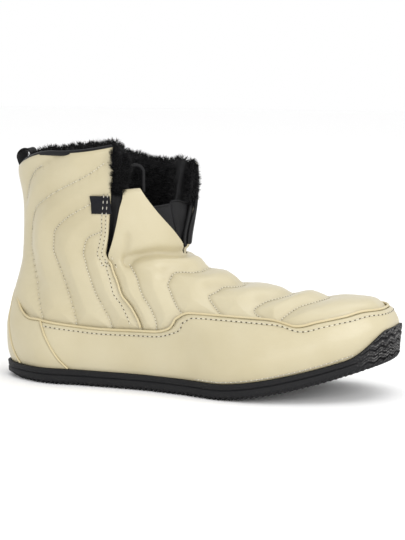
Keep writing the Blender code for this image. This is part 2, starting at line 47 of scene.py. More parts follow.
# The boot's sizes in metres, the same as the CAD model's
boot = {
    "length": 0.290,
    "ballWidth": 0.106,
    "collar": 0.150,
    "toeSpring": 0.027,
    "springStart": 0.62,
    "soleSide": 0.0095,
    "swellShare": 0.035,
    "swellLevel": 0.30,
    "backReach": 0.35,
    "lipInset": 0.0046,
    "lipRoom": 0.0026,
    "wall": 0.0030,
    "splayOut": 0.0120,
    "splayDrop": 0.0215,
    "splayAlong": 0.8,
    "splayAside": 0.6,
    "splayStart": 176.0,
    "splayRamp": 16.0,
    "splayEnd": 300.0,
    "splayFade": 90.0,
    "insoleGap": 0.0006,
    "cut": 0.84,
    "tongueTop": 0.950,
}
plan = {
    "along": [0.00, 0.12, 0.25, 0.40, 0.52, 0.64, 0.74, 0.85, 0.94, 1.00],
    "outer": [0.48, 0.50, 0.405, 0.37, 0.41, 0.51, 0.545, 0.53, 0.49, 0.46],
    "inner": [0.48, 0.50, 0.385, 0.305, 0.325, 0.435, 0.50, 0.52, 0.55, 0.56],
    "middle": [0.00, 0.00, 0.00, 0.00, 0.00, 0.005, 0.02, 0.045, 0.065, 0.075],
}
levels = {
    "level": [0.00, 0.12, 0.25, 0.38, 0.50, 0.60, 0.70, 0.78, 0.84, 0.90, 0.95, 1.00],
    "backX": [0.000, -0.010, -0.013, -0.004, 0.0075, 0.018, 0.027, 0.031, 0.034, 0.036, 0.031, 0.0205],
    "frontX": [1.000, 1.004, 0.992, 0.962, 0.885, 0.775, 0.650, 0.550, 0.478, 0.460, 0.450, 0.445],
    "backZ": [0.00, 0.075, 0.180, 0.275, 0.365, 0.440, 0.505, 0.565, 0.620, 0.725, 0.830, 0.937],
    "sideZ": [0.00, 0.065, 0.150, 0.235, 0.315, 0.385, 0.455, 0.520, 0.580, 0.705, 0.855, 1.030],
    "frontZ": [0.00, 0.085, 0.158, 0.225, 0.283, 0.357, 0.420, 0.478, 0.543, 0.700, 0.885, 1.130],
    "rear": [0.380, 0.385, 0.380, 0.378, 0.380, 0.385, 0.388, 0.388, 0.390, 0.396, 0.405, 0.415],
    "fore": [0.480, 0.490, 0.480, 0.430, 0.370, 0.330, 0.305, 0.320, 0.355, 0.385, 0.400, 0.415],
    "planShare": [1.00, 1.00, 0.95, 0.70, 0.30, 0.00, 0.00, 0.00, 0.00, 0.00, 0.00, 0.00],
    "blunt": [0.70, 0.70, 0.72, 0.76, 0.84, 0.90, 0.92, 0.94, 0.96, 1.00, 1.00, 1.00],
}
# Turns of the panels' edges by level, from the sole up: vamp seams, then the slit and the cut-out
edges = {
    "level": [0.00, 0.35, 0.56, 0.71, 0.80, 0.84, 0.87, 0.90, 0.925, 0.945, 0.97, 1.00],
    "quarterOuter": [81.0, 81.0, 82.0, 90.2, 99.0, 103.5, 106.8, 109.4, 111.6, 113.4, 116.5, 117.5],
    "tongueOuter": [81.0, 81.0, 82.0, 90.2, 99.0, 105.5, 110.2, 114.6, 118.4, 122.0, 122.0, 122.0],
    "tongueInner": [276.0, 275.0, 265.0, 243.0, 209.0, 184.0, 172.0, 157.0, 145.0, 137.0, 130.0, 124.0],
    "quarterInner": [276.0, 275.0, 265.0, 243.0, 209.0, 184.0, 186.0, 188.5, 190.5, 192.5, 195.0, 199.0],
}
# Upper edge of the rand by length, as a share of the collar height
randEdge = {
    "along": [
        0.10, 0.14, 0.22, 0.30, 0.40, 0.445, 0.48, 0.535, 0.58,
        0.66, 0.72, 0.762, 0.795, 0.84, 0.89, 0.93, 1.00,
    ],
    "height": [
        0.310, 0.290, 0.276, 0.270, 0.275, 0.278, 0.292, 0.350, 0.371,
        0.366, 0.361, 0.358, 0.338, 0.357, 0.380, 0.400, 0.402,
    ],
}
# Small steps in turn and level, over which the skin's tangents are taken
tangent = {"turn": 0.6, "level": 0.004}
upright = np.array([0, 0, 1.0])


# Reads a column of a table on a cubic that never overshoots its points.
def column(table, key, name, at):
    x = np.array(table[key], float)
    y = np.array(table[name], float)
    run = np.diff(x)
    rise = np.diff(y) / run
    slope = np.zeros_like(y)
    same = rise[:-1] * rise[1:] > 0
    slope[1:-1][same] = (2 * rise[:-1] * rise[1:])[same] / (rise[:-1] + rise[1:])[same]
    slope[0] = rise[0]
    slope[-1] = rise[-1]
    at = np.clip(np.asarray(at, float), x[0], x[-1])
    i = np.clip(np.searchsorted(x, at) - 1, 0, len(run) - 1)
    t = (at - x[i]) / run[i]
    near = (2 * t**3 - 3 * t**2 + 1) * y[i] + (t**3 - 2 * t**2 + t) * run[i] * slope[i]
    far = (3 * t**2 - 2 * t**3) * y[i + 1] + (t**3 - t**2) * run[i] * slope[i + 1]
    return near + far


# Turn of a panel's edge at a level.
def edgeAt(name, level):
    return column(edges, "level", name, level)


# Vectors scaled to a length of one.
def unit(vectors):
    return vectors / np.maximum(np.linalg.norm(vectors, axis=-1, keepdims=True), 1e-12)


# Smooth step: 3 t^2 - 2 t^3 between 0 and 1.
def ease(value):
    t = np.clip(value, 0.0, 1.0)
    return t * t * (3 - 2 * t)


# Underside of the sole above the floor: it rises towards the toe with the power 1.5 of the length.
def springAt(x):
    t = np.clip((x / boot["length"] - boot["springStart"]) / (1 - boot["springStart"]), 0.0, 1.2)
    return boot["toeSpring"] * t**1.5


# The upper's surface. Turn 0 is the back of the heel, 90 the outer side, 180 the toe, 270 the inner side.
# Length follows the cosine of the turn, width a power of its sine, height the level's own row.
def skin(turn, level):
    turn, level = np.broadcast_arrays(np.asarray(turn, float), np.asarray(level, float))
    angle = np.radians(turn)
    along = (1 - np.cos(angle)) / 2
    outerSide = np.sin(angle) >= 0
    share = {name: column(levels, "level", name, level) for name in levels if name != "level"}
    room = boot["length"] - 2 * boot["lipInset"]
    back = boot["lipInset"] + share["backX"] * room
    front = boot["lipInset"] + share["frontX"] * room
    x = back + (front - back) * along
    outer, inner = column(plan, "along", "outer", along), column(plan, "along", "inner", along)
    planWidth = np.where(outerSide, outer, inner)
    loopWidth = share["rear"] + (share["fore"] - share["rear"]) * ease((along - 0.25) / 0.6)
    swell = 1 + boot["swellShare"] * np.sin(np.pi * np.clip(level / boot["swellLevel"], 0, 1))
    width = planWidth * swell * share["planShare"] + loopWidth * (1 - share["planShare"])
    reach = (boot["ballWidth"] - 2 * boot["lipInset"]) * width * np.abs(np.sin(angle)) ** share["blunt"]
    middle = boot["ballWidth"] * column(plan, "along", "middle", along) * share["planShare"]
    y = middle + np.where(outerSide, -reach, reach)
    toBack = np.clip(1 - along / boot["backReach"], 0, 1) ** 2
    toFront = np.clip((along - boot["backReach"]) / (1 - boot["backReach"]), 0, 1) ** 2
    sideZ = share["sideZ"]
    rise = sideZ + (share["backZ"] - sideZ) * toBack + (share["frontZ"] - sideZ) * toFront
    z = boot["soleSide"] + springAt(x) + rise * boot["collar"]
    opened = ease((level - boot["cut"]) / (1 - boot["cut"])) * ease((turn - boot["splayStart"]) / boot["splayRamp"])
    opened = opened * ease((boot["splayEnd"] - turn) / boot["splayFade"])
    x = x + boot["splayOut"] * boot["splayAlong"] * opened
    y = y + boot["splayOut"] * boot["splayAside"] * opened
    z = z - boot["splayDrop"] * opened
    return np.stack([x, y, z], axis=-1)


# Unit direction out of the skin: the cross product of its two tangents.
def outward(turn, level):
    around = skin(turn + tangent["turn"], level) - skin(turn - tangent["turn"], level)
    above, below = np.minimum(level + tangent["level"], 1.0), np.maximum(level - tangent["level"], 0.0)
    return unit(np.cross(around, skin(turn, above) - skin(turn, below)))


# A point at a depth from the skin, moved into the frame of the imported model.
def layer(turn, level, depth):
    turn, level, depth = np.broadcast_arrays(*[np.asarray(v, float) for v in (turn, level, depth)])
    return skin(turn, level) + outward(turn, level) * depth[..., None] + shift


# A point on the sole's outline, moved outwards and set to a height above the sole's underside.
def feather(turn, out, height):
    here = skin(turn, 0.0)
    along = skin(turn + tangent["turn"], 0.0) - skin(turn - tangent["turn"], 0.0)
    normal = unit(np.stack([along[..., 1], -along[..., 0]], axis=-1))
    x = here[..., 0] + normal[..., 0] * out
    y = here[..., 1] + normal[..., 1] * out
    return np.stack([x, y, springAt(x) + height], axis=-1) + shift


# The level at which the skin reaches a height above the floor.
def levelAt(turn, height):
    count = 200
    turn = np.asarray(turn, float)
    heights = skin(turn[..., None], np.linspace(0, 1, count + 1))[..., 2]
    target = np.broadcast_to(height, turn.shape)
    i = np.clip((heights < target[..., None]).sum(axis=-1), 1, count)
    low = np.take_along_axis(heights, i[..., None] - 1, -1)[..., 0]
    high = np.take_along_axis(heights, i[..., None], -1)[..., 0]
    return (i - 1 + np.clip((target - low) / np.maximum(high - low, 1e-9), 0, 1)) / count


# Height of the rand's upper edge above the floor.
def randHeight(turn):
    return boot["collar"] * column(randEdge, "along", "height", skin(turn, 0.38)[..., 0] / boot["length"])


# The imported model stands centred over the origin, so the low corner of the insole, an outline of 48 points,
# gives the shift.
shift = np.zeros(3)
ring = feather(np.arange(48) * 7.5, -boot["wall"] - boot["insoleGap"], 0.0)
shift[:2] = np.array(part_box("insole")[0])[:2] - ring.min(axis=0)[:2]


# A smooth curve through points with two or three columns, by a Catmull-Rom cubic on each stretch.
def through(points, count):
    p = np.asarray(points, float)
    p = np.concatenate([2 * p[:1] - p[1:2], p, 2 * p[-1:] - p[-2:-1]])
    at = np.linspace(0, len(p) - 3 - 1e-9, count)
    i = at.astype(int)
    t = (at - i)[:, None]
    a, b, c, d = p[i], p[i + 1], p[i + 2], p[i + 3]
    return 0.5 * (2 * b + (c - a) * t + (2 * a - 5 * b + 4 * c - d) * t**2 + (3 * b - a - 3 * c + d) * t**3)


# Length of a path up to each of its points.
def lengthAlong(path):
    return np.concatenate([[0.0], np.cumsum(np.linalg.norm(np.diff(path, axis=0), axis=1))])


# Points along a path in equal steps of length.
def evenly(path, step):
    run = lengthAlong(path)
    at = np.linspace(0, run[-1], max(int(round(run[-1] / step)), 2))
    return np.stack([np.interp(at, run, path[:, k]) for k in range(path.shape[1])], axis=1)


# Seeded noise without a table: sums of sines with unrelated waves, about -1 to 1.
def ripple(p, size, seed):
    made = np.zeros(p.shape[:-1])
    rng = np.random.default_rng(seed)
    for n in range(7):
        way = rng.normal(size=3)
        way /= np.linalg.norm(way)
        wave = 2 * np.pi / (size * rng.uniform(0.6, 1.6))
        made += np.sin(p @ way * wave + rng.uniform(0, 6.28))
    return made / 3.0


# A piece from points, arrays of faces with one number of corners each, and finishes. It rides on the one body.
def addMesh(name, points, faces, finishes, slots=None):
    mesh = bpy.data.meshes.new(name)
    points = np.asarray(points, float).reshape(-1, 3)
    flat = np.concatenate([np.asarray(f).ravel() for f in faces]).astype(np.int32)
    sizes = np.concatenate([np.full(len(f), np.asarray(f).shape[1]) for f in faces]).astype(np.int32)
    mesh.vertices.add(len(points))
    mesh.vertices.foreach_set("co", points.ravel().astype(np.float32))
    mesh.loops.add(len(flat))
    mesh.loops.foreach_set("vertex_index", flat)
    mesh.polygons.add(len(sizes))
    mesh.polygons.foreach_set("loop_start", np.concatenate([[0], np.cumsum(sizes)[:-1]]).astype(np.int32))
    for finish in finishes:
        mesh.materials.append(finish)
    if slots is not None:
        mesh.polygons.foreach_set("material_index", np.asarray(slots, np.int32))
    mesh.update(calc_edges=True)
    mesh.validate()
    mesh.shade_smooth()
    made = bpy.data.objects.new(name, mesh)
    bpy.context.scene.collection.objects.link(made)
    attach(made, "root")
    return made


# Quads between the rows and columns of a grid, closed round the columns where wrap is true.
def quads(rows, columns, wrap=False, start=0):
    r, c = np.meshgrid(np.arange(rows - 1), np.arange(columns if wrap else columns - 1), indexing="ij")
    d = (c + 1) % columns
    made = np.stack([r * columns + c, r * columns + d, (r + 1) * columns + d, (r + 1) * columns + c], axis=-1)
    return made.reshape(-1, 4) + start


# A closed wall from an outer and an inner grid of the same shape, joined along its four edges.
def wallFaces(rows, columns):
    count = rows * columns
    outer = quads(rows, columns)
    low = np.arange(columns)
    top = low + (rows - 1) * columns
    side = np.arange(rows) * columns
    far = side + columns - 1
    ends = [(low[:-1], low[1:]), (top[1:], top[:-1]), (side[1:], side[:-1]), (far[:-1], far[1:])]
    rims = [np.stack([b, a, a + count, b + count], axis=-1) for a, b in ends]
    return np.concatenate([outer, outer[:, ::-1] + count] + rims)


# A thin closed piece between an outer and an inner sheet. A second finish goes on the inner sheet.
def addSheet(name, outer, inner, finishes):
    faces = wallFaces(*outer.shape[:2])
    points = np.concatenate([outer.reshape(-1, 3), inner.reshape(-1, 3)])
    lining = (faces.min(axis=1) >= len(points) // 2) * (len(finishes) - 1)
    return addMesh(name, points, [faces], finishes, lining)


# Steps from each point of a grid to the nearest of its two sides and its upper edge.
def rimSteps(rows, columns):
    across = np.arange(columns)
    return np.minimum(np.minimum(across, across[::-1])[None, :], np.arange(rows)[::-1, None])


# Directions from the middle of a circle to its corners, at each point of a path.
def circle(side, top, sides):
    corner = np.linspace(0, 2 * np.pi, sides, endpoint=False)
    return np.cos(corner)[None, :, None] * side[:, None] + np.sin(corner)[None, :, None] * top[:, None]


# Outward faces of rings along a path, closed at both ends.
def ringFaces(rows, sides):
    corner = np.arange(sides)
    return [quads(rows, sides, True)[:, ::-1], corner[None], (corner + (rows - 1) * sides)[None, ::-1]]


# Points and faces of a round cord: a circle carried along a path, narrower at both ends.
def tube(path, radius, sides):
    path = np.asarray(path, float)
    heading = unit(np.gradient(path, axis=0))
    path = np.concatenate([path[:1] - heading[:1] * radius * 0.5, path, path[-1:] + heading[-1:] * radius * 0.5])
    heading = np.concatenate([heading[:1], heading, heading[-1:]])
    grow = np.ones(len(path))
    grow[[0, -1]] = 0.35
    side = np.cross(heading, upright)
    side += (np.linalg.norm(side, axis=1, keepdims=True) < 1e-4) * np.array([1.0, 0.0, 0.0])
    side = unit(side)
    points = path[:, None] + (radius * grow)[:, None, None] * circle(side, np.cross(side, heading), sides)
    return points.reshape(-1, 3), ringFaces(len(path), sides)


# One socket of a shader, with the operators that turn an expression into Math nodes.
class Shade:
    def __init__(self, tree, socket):
        self.tree = tree
        self.socket = socket

    def node(self, kind, settings=None, inputs=None, out=0):
        made = self.tree.nodes.new(kind)
        for name, value in (settings or {}).items():
            setattr(made, name, value)
        for name, value in (inputs or {}).items():
            if isinstance(value, Shade):
                self.tree.links.new(value.socket, made.inputs[name])
            else:
                made.inputs[name].default_value = value
        return Shade(self.tree, made.outputs[out])

    def maths(self, kind, *values):
        return self.node("ShaderNodeMath", {"operation": kind}, dict(enumerate(values)))

    def __add__(self, other):
        return self.maths("ADD", self, other)

    def __mul__(self, other):
        return self.maths("MULTIPLY", self, other)

    def __rsub__(self, other):
        return self.maths("SUBTRACT", other, self)

    def clamp(self, low, high):
        return self.node("ShaderNodeMapRange", None, {"Value": self, "From Min": low, "From Max": high})

    def mix(self, a, b):
        return self.node("ShaderNodeMix", {"data_type": "RGBA"}, {0: self, 6: a, 7: b}, 2)


# A material, its shader node, a way to start expressions in it, and the object coordinates.
def newMaterial(name, settings):
    made = bpy.data.materials.new(name)
    made.use_nodes = True
    tree = made.node_tree
    shader = tree.nodes["Principled BSDF"]
    for socket, value in settings.items():
        shader.inputs[socket].default_value = value
    start = Shade(tree, None)
    place = start.node("ShaderNodeTexCoord", out=3)
    return made, shader, start, place


def link(shader, name, value):
    value.tree.links.new(value.socket, shader.inputs[name])


def noise(start, place, scale, detail=3.0, rough=0.5):
    inputs = {"Vector": place, "Scale": scale, "Detail": detail, "Roughness": rough}
    return start.node("ShaderNodeTexNoise", None, inputs)


def bump(start, height, strength, distance, after=None):
    inputs = {"Height": height, "Strength": strength, "Distance": distance}
    if after is not None:
        inputs["Normal"] = after
    return start.node("ShaderNodeBump", None, inputs)


# Smooth coated leather: fine pebbled grain, faint clouding, and a darker, yellower colour that is dirt at the rand's
# foot and painted shade in the folds and grooves of the quilting.
leatherLook = {
    "light": (0.508, 0.454, 0.308, 1),
    "warm": (0.466, 0.408, 0.261, 1),
    # This darker, yellower colour is dirt at the rand's foot and painted shade in the quilting's folds and grooves
    "fold_shade_and_soil": (0.33, 0.28, 0.17, 1),
    "grain": 900.0,
    "grainDepth": 0.00006,
    "roughness": (0.36, 0.50),
}


def leatherMaterial(name, look, paintsShadeAndSoil):
    made, shader, start, place = newMaterial(name, {"Specular IOR Level": 0.5})
    cloud = noise(start, place, 22.0, 4.0)
    speck = noise(start, place, 260.0, 3.0)
    colour = cloud.clamp(0.35, 0.70).mix(look["light"], look["warm"])
    colour = (speck.clamp(0.60, 0.80) * 0.15).mix(colour, look["warm"])
    if paintsShadeAndSoil:
        # Per-point amount of that colour: painted shade in the quilting's grooves and hollows, dirt at the rand's
        # foot
        depth = start.node("ShaderNodeAttribute", {"attribute_name": "fold_shade_and_soil"}, out=2)
        colour = (depth.clamp(0.05, 1.0) * 0.42).mix(colour, look["fold_shade_and_soil"])
    link(shader, "Base Color", colour)
    low, high = look["roughness"]
    link(shader, "Roughness", cloud.clamp(0.3, 0.7) * (high - low) + low)
    link(shader, "Coat Weight", 0.18 - speck.clamp(0.4, 0.8) * 0.12)
    cells = start.node("ShaderNodeTexVoronoi", {"feature": "F1"}, {"Vector": place, "Scale": look["grain"]})
    soft = noise(start, place, 120.0, 3.0)
    shape = bump(start, soft, 0.35, 0.00035)
    link(shader, "Normal", bump(start, cells, 0.45, look["grainDepth"], shape))
    return made


def threadMaterial(name, light, dark):
    made, shader, start, place = newMaterial(name, {"Roughness": 0.75})
    strand = noise(start, place, 1500.0, 2.0)
    link(shader, "Base Color", strand.clamp(0.35, 0.65).mix(dark, light))
    link(shader, "Normal", bump(start, strand, 0.5, 0.0001))
    return made


def rubberMaterial(name):
    made, shader, start, place = newMaterial(name, {"Specular IOR Level": 0.22})
    cloud = noise(start, place, 40.0, 4.0)
    grit = noise(start, place, 650.0, 3.0, 0.65)
    dust = (grit.clamp(0.62, 0.76) * cloud.clamp(0.35, 0.6)) * 0.35
    colour = dust.mix((0.008, 0.008, 0.009, 1), (0.080, 0.077, 0.073, 1))
    # Painted highlight: the black lifts to grey on the bumper's rib crests, the toe's teeth and the lip
    crest_highlight = start.node("ShaderNodeAttribute", {"attribute_name": "crest_highlight"}, out=2) * grit.clamp(0.42, 0.62)
    link(shader, "Base Color", (crest_highlight * 0.9).mix(colour, (0.22, 0.215, 0.21, 1)))
    link(shader, "Roughness", grit.clamp(0.3, 0.7) * 0.2 + 0.52)
    link(shader, "Normal", bump(start, grit, 0.5, 0.00018))
    return made


# Plain woven nylon: two crossed sine waves on the object's coordinates.
def nylonMaterial(name, tint, roughness, weave):
    made, shader, start, place = newMaterial(name, {"Specular IOR Level": 0.20})
    axes = start.node("ShaderNodeSeparateXYZ", None, {"Vector": place})
    x, y, z = [Shade(axes.tree, output) for output in axes.socket.node.outputs]
    cloth = start.maths("SINE", (x + y) * weave) * start.maths("SINE", z * weave)
    cloud = noise(start, place, 60.0, 3.0)
    dark = tuple(c * 0.55 for c in tint[:3]) + (1,)
    link(shader, "Base Color", cloud.clamp(0.3, 0.7).mix(dark, tint))
    link(shader, "Roughness", cloud.clamp(0.3, 0.7) * 0.12 + roughness)
    link(shader, "Normal", bump(start, cloth, 0.35, 0.00012))
    return made


def furMaterial(name):
    settings = {"Specular IOR Level": 0.22, "Sheen Weight": 0.04, "Sheen Roughness": 0.4}
    made, shader, start, place = newMaterial(name, settings)
    strand = noise(start, place, 700.0, 2.0)
    tuft = noise(start, place, 90.0, 3.0)
    colour = strand.clamp(0.45, 0.75).mix((0.003, 0.003, 0.0035, 1), (0.012, 0.012, 0.013, 1))
    link(shader, "Base Color", (tuft.clamp(0.55, 0.8) * 0.5).mix(colour, (0.020, 0.020, 0.021, 1)))
    link(shader, "Roughness", strand.clamp(0.3, 0.7) * 0.2 + 0.55)
    return made


def feltMaterial(name):
    made, shader, start, place = newMaterial(name, {"Specular IOR Level": 0.2})
    fibre = noise(start, place, 500.0, 4.0, 0.6)
    link(shader, "Base Color", fibre.clamp(0.35, 0.65).mix((0.025, 0.025, 0.027, 1), (0.07, 0.07, 0.073, 1)))
    link(shader, "Roughness", fibre * 0.1 + 0.85)
    link(shader, "Normal", bump(start, fibre, 0.6, 0.0003))
    return made


leather = leatherMaterial("quilted_leather", leatherLook, True)
randLeather = leatherMaterial("rand_leather", leatherLook, True)
cordLook = dict(leatherLook, light=(0.545, 0.47, 0.29, 1), warm=(0.50, 0.415, 0.235, 1))
cordLeather = leatherMaterial("piping_leather", cordLook, False)
thread = threadMaterial("thread", (0.70, 0.67, 0.56, 1), (0.58, 0.55, 0.44, 1))
paleThread = threadMaterial("pale_thread", (0.55, 0.53, 0.47, 1), (0.35, 0.33, 0.28, 1))
rubber = rubberMaterial("rubber")
nylon = nylonMaterial("gusset_nylon", (0.010, 0.010, 0.011, 1), 0.36, 5200.0)
webbing = nylonMaterial("webbing_nylon", (0.008, 0.008, 0.009, 1), 0.50, 3200.0)
label = nylonMaterial("label_weave", (0.007, 0.007, 0.010, 1), 0.55, 4200.0)
fur = furMaterial("fur")
felt = feltMaterial("felt")
print("materials made")

# Padding in metres, and quilting lines as turn and level, drawn on the outer side and repeated on the inner side
quilting = {
    "puff": 0.0025,
    "reach": 0.0078,
    "groove": 0.0008,
    "grooveWidth": 0.0012,
    "fullness": 1.25,
    "roundness": 1.6,
    "foldShadeWidth": 0.0018,
    "foldShade": 0.55,
    "lowest": -0.0019,
    "underRand": 0.02,
    "underDepth": 0.0004,
    "wrinkle": 0.0002,
    "wrinkleSize": 0.03,
    "calmLevel": 0.90,
    "rimDrop": 0.0009,
    "rimRows": 1.2,
    "hiddenRows": 8,
    "hiddenTop": 0.26,
    "linePoints": 60,
    "clearBehind": 2.5,
    "clearAhead": 1.5,
    "quarter": [
        [(79.5, 0.998), (65.5, 0.988), (50.5, 0.978), (39.8, 0.964), (30, 0.940)],
        [
            (115, 0.988), (98, 0.971), (80, 0.956), (61, 0.938), (45, 0.918),
            (38, 0.884), (35, 0.79), (36.8, 0.55), (43, 0.37), (44, 0.30),
        ],
        [
            (106, 0.940), (98, 0.932), (79, 0.910), (67, 0.884), (65, 0.860),
            (61, 0.762), (57, 0.56), (58, 0.35), (58, 0.30),
        ],
        [(103, 0.886), (93, 0.872), (88.5, 0.844), (78, 0.736), (70.5, 0.566), (71, 0.35), (71, 0.30)],
    ],
    "vamp": [
        [(108.5, 0.788), (103, 0.735), (94, 0.640), (89.5, 0.548), (86.2, 0.372), (86, 0.33)],
        [(180, 0.796), (155, 0.785), (133, 0.770), (114, 0.698), (105.5, 0.626), (100.5, 0.552), (99, 0.49)],
        [(180, 0.716), (160, 0.710), (146, 0.700), (126.5, 0.644), (119.5, 0.608), (115.5, 0.550), (114, 0.50)],
        [(180, 0.612), (168, 0.610), (157, 0.604), (144, 0.590), (132, 0.554), (127.5, 0.518), (126.8, 0.47)],
        [(180, 0.538), (171, 0.538), (162, 0.536), (148, 0.524), (137, 0.484), (130, 0.436), (129.5, 0.40)],
    ],
    # Soft hollows and one ridge at the ankle and on the vamp: turn and level, then height and width in metres
    "forms": [
        ([(112, 0.808), (124, 0.834), (141, 0.850), (166, 0.850), (185, 0.852), (206, 0.850)], -0.0046, 0.0034),
        ([(121.5, 0.880), (119.8, 0.864), (116.5, 0.838), (112, 0.812)], -0.0012, 0.0028),
        ([(180, 0.722), (160, 0.716), (146, 0.708), (134, 0.690)], -0.0016, 0.0050),
        ([(180, 0.620), (168, 0.618), (155, 0.612), (142, 0.600)], -0.0014, 0.0050),
        ([(150, 0.792), (133, 0.784), (120, 0.740)], -0.0010, 0.0050),
        ([(112, 0.772), (134, 0.806), (160, 0.818), (184, 0.818), (205, 0.812)], 0.0018, 0.0048),
    ],
}


def linePoints(line, side):
    pairs = through(line, quilting["linePoints"])
    turn = pairs[:, 0] if side > 0 else 360 - pairs[:, 0]
    return turn, pairs[:, 1]


# Distance from each point to the nearest of some lines, worked out on whole arrays for four line points at a time.
def nearest(points, lines):
    found = np.full(points.shape[:-1], 1.0)
    for line in lines:
        for a in range(0, len(line), 4):
            gap = np.linalg.norm(points[..., None, :] - line[a:a + 4], axis=-1).min(axis=-1)
            found = np.minimum(found, gap)
    return found


# Whether points lie on their own panel, clear of the vamp seam by some degrees.
def onPart(part, side, turn, level):
    seam = edgeAt("quarterOuter" if side > 0 else "quarterInner", level)
    ahead = side * (turn - seam)
    return ahead < -quilting["clearBehind"] if part == "quarter" else ahead > quilting["clearAhead"]


shown = []
for part in ("quarter", "vamp"):
    for line in quilting[part]:
        for side in (1, -1):
            turn, level = linePoints(line, side)
            keep = onPart(part, side, turn, level)
            if keep.sum() > 3:
                shown.append((part, turn[keep], level[keep]))
seamLevels = np.linspace(0.30, 0.80, 60)
quiltLines = [skin(turn, level) for part, turn, level in shown]
seamLines = [skin(edgeAt(name, seamLevels), seamLevels) for name in ("quarterOuter", "quarterInner")]
randTurns = np.linspace(20, 340, 400)
randLevels = levelAt(randTurns, randHeight(randTurns))
randLine = skin(randTurns, randLevels)


def randLevelAt(turn):
    return np.interp(np.mod(np.asarray(turn, float), 360), randTurns, randLevels)


# Height of the padding over the skin, and the strength of the painted shade in its grooves and hollows. It swells
# with the distance from the nearest seam, dips at the stitches, follows the soft forms and lies flat under the rand.
def padding(turn, level):
    points = skin(turn, level)
    quilt = nearest(points, quiltLines)
    seam = nearest(points, seamLines + [randLine])
    both = np.minimum(quilt, seam)
    flat = np.exp(-(both / quilting["reach"]) ** quilting["roundness"])
    height = quilting["puff"] * (1 - flat * quilting["fullness"])
    height -= quilting["groove"] * np.exp(-(quilt / quilting["grooveWidth"]) ** 2)
    # Painted shade along the stitched grooves
    fold_shade_and_soil = np.exp(-(quilt / quilting["foldShadeWidth"]) ** 2) * quilting["foldShade"]
    for line, tall, wide in quilting["forms"]:
        near = nearest(points, [skin(*linePoints(line, side)) for side in (1, -1)])
        form = np.exp(-(near / wide) ** 2)
        height += tall * form
        # Hollows get painted shade too
        if tall < 0:
            fold_shade_and_soil = np.maximum(fold_shade_and_soil, 0.5 * form)
    under = ease((randLevelAt(turn) - level) / quilting["underRand"])
    height = height * (1 - under) - quilting["underDepth"] * under
    rim = ease((level - quilting["calmLevel"]) / (1 - quilting["calmLevel"]))
    height += quilting["wrinkle"] * ripple(points, quilting["wrinkleSize"], 3) * (1 - under) * (1 - rim * 0.5)
    return np.maximum(height, quilting["lowest"]), fold_shade_and_soil


def paint(made, name, values):
    kept = made.data.attributes.new(name, "FLOAT", "POINT")
    kept.data.foreach_set("value", np.asarray(values, np.float32))


# Shares of a turn from start to end that lie in equal steps of length along the skin.
def evenShares(start, end, level, count):
    turns = np.linspace(start, end, 1500)
    run = lengthAlong(skin(turns, level))
    return (np.interp(np.linspace(0, run[-1], count), run, turns) - start) / (end - start)


panels = {}


# The quilted upper: a wall of the skin between two side edges, its outer sheet on the padding. Its columns lie in
# equal lengths over the turns and at the level in middle, and few of its rows are hidden under the rand.
def quiltedPanel(name, startName, endName, turnBack, topLevel, middle, columns, rows):
    share = evenShares(*middle, columns)
    hidden, top = quilting["hiddenRows"], quilting["hiddenTop"]
    upLevels = np.concatenate([np.linspace(0, top, hidden + 1)[:-1], np.linspace(top, topLevel, rows - hidden)])
    rowLevels = np.broadcast_to(upLevels[:, None], (rows, columns))
    start = edgeAt(startName, rowLevels)
    end = edgeAt(endName, rowLevels) + turnBack
    turns = start + (end - start) * share[None, :]
    height, fold_shade_and_soil = padding(np.mod(turns, 360), rowLevels)
    height = height - quilting["rimDrop"] * np.exp(-rimSteps(rows, columns) / quilting["rimRows"])
    panels[name] = (startName, endName, turnBack, share, upLevels, height)
    inner = layer(turns, rowLevels, -boot["wall"] + 0.0003)
    made = addSheet(name, layer(turns, rowLevels, height), inner, [leather, felt])
    # Painted shade of the grooves and hollows on the outer sheet, none on the inner sheet
    paint(made, "fold_shade_and_soil", np.concatenate([fold_shade_and_soil.ravel(), np.zeros(fold_shade_and_soil.size)]))
    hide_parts("upper")


tongueTop = boot["tongueTop"]
quiltedPanel("vamp_and_tongue", "tongueOuter", "tongueInner", 0, tongueTop, (82, 262, 0.5), 366, 134)
quiltedPanel("quarters", "quarterInner", "quarterOuter", 360, 1.0, (262, 442, 0.6), 356, 138)


# Height of a quilted panel's own mesh over the skin, read between its grid points.
def onPanel(name, turn, level):
    startName, endName, turnBack, share, upLevels, height = panels[name]
    start = edgeAt(startName, level)
    end = edgeAt(endName, level) + turnBack
    turn = np.where(turn < start - 8, turn + 360, turn)
    c = np.clip(np.interp((turn - start) / (end - start), share, np.arange(len(share))), 0, len(share) - 1.001)
    r = np.clip(np.interp(level, upLevels, np.arange(len(upLevels))), 0, len(upLevels) - 1.001)
    i, j = r.astype(int), c.astype(int)
    a, b = r - i, c - j
    low = height[i, j] * (1 - b) + height[i, j + 1] * b
    return low * (1 - a) + (height[i + 1, j] * (1 - b) + height[i + 1, j + 1] * b) * a


print("quilted upper made")

# Smooth strips round the foot: rand, counters and heel stay
strips = {
    "lift": 0.0008,
    "thick": 0.0012,
    "rimDrop": 0.0006,
    "bulge": 0.0004,
    "wrinkle": 0.00018,
    "soil": 0.30,
    "soilLevels": 0.03,
    "gap": 0.3,
    "randGap": 0.4,
    "underCord": 0.0003,
    "slopeGap": 1.0,
    "skirt": 0.018,
    "startTop": 43.0,
    "startFoot": 54.0,
    "stayTop": 9.0,
    "stayFoot": 29.0,
    "backHeight": 0.415,
    "sideHeight": 0.293,
}


# Height of the heel panels' upper edge above the floor: high at the heel stay, low at the rand.
def heelHeight(turn):
    start, end = strips["stayTop"] + strips["slopeGap"], strips["startTop"] - strips["slopeGap"]
    share = (np.abs(turn) - start) / (end - start)
    low = strips["backHeight"]
    return boot["collar"] * (low + (strips["sideHeight"] - low) * ease(np.clip(share, 0, 1) * 1.15))


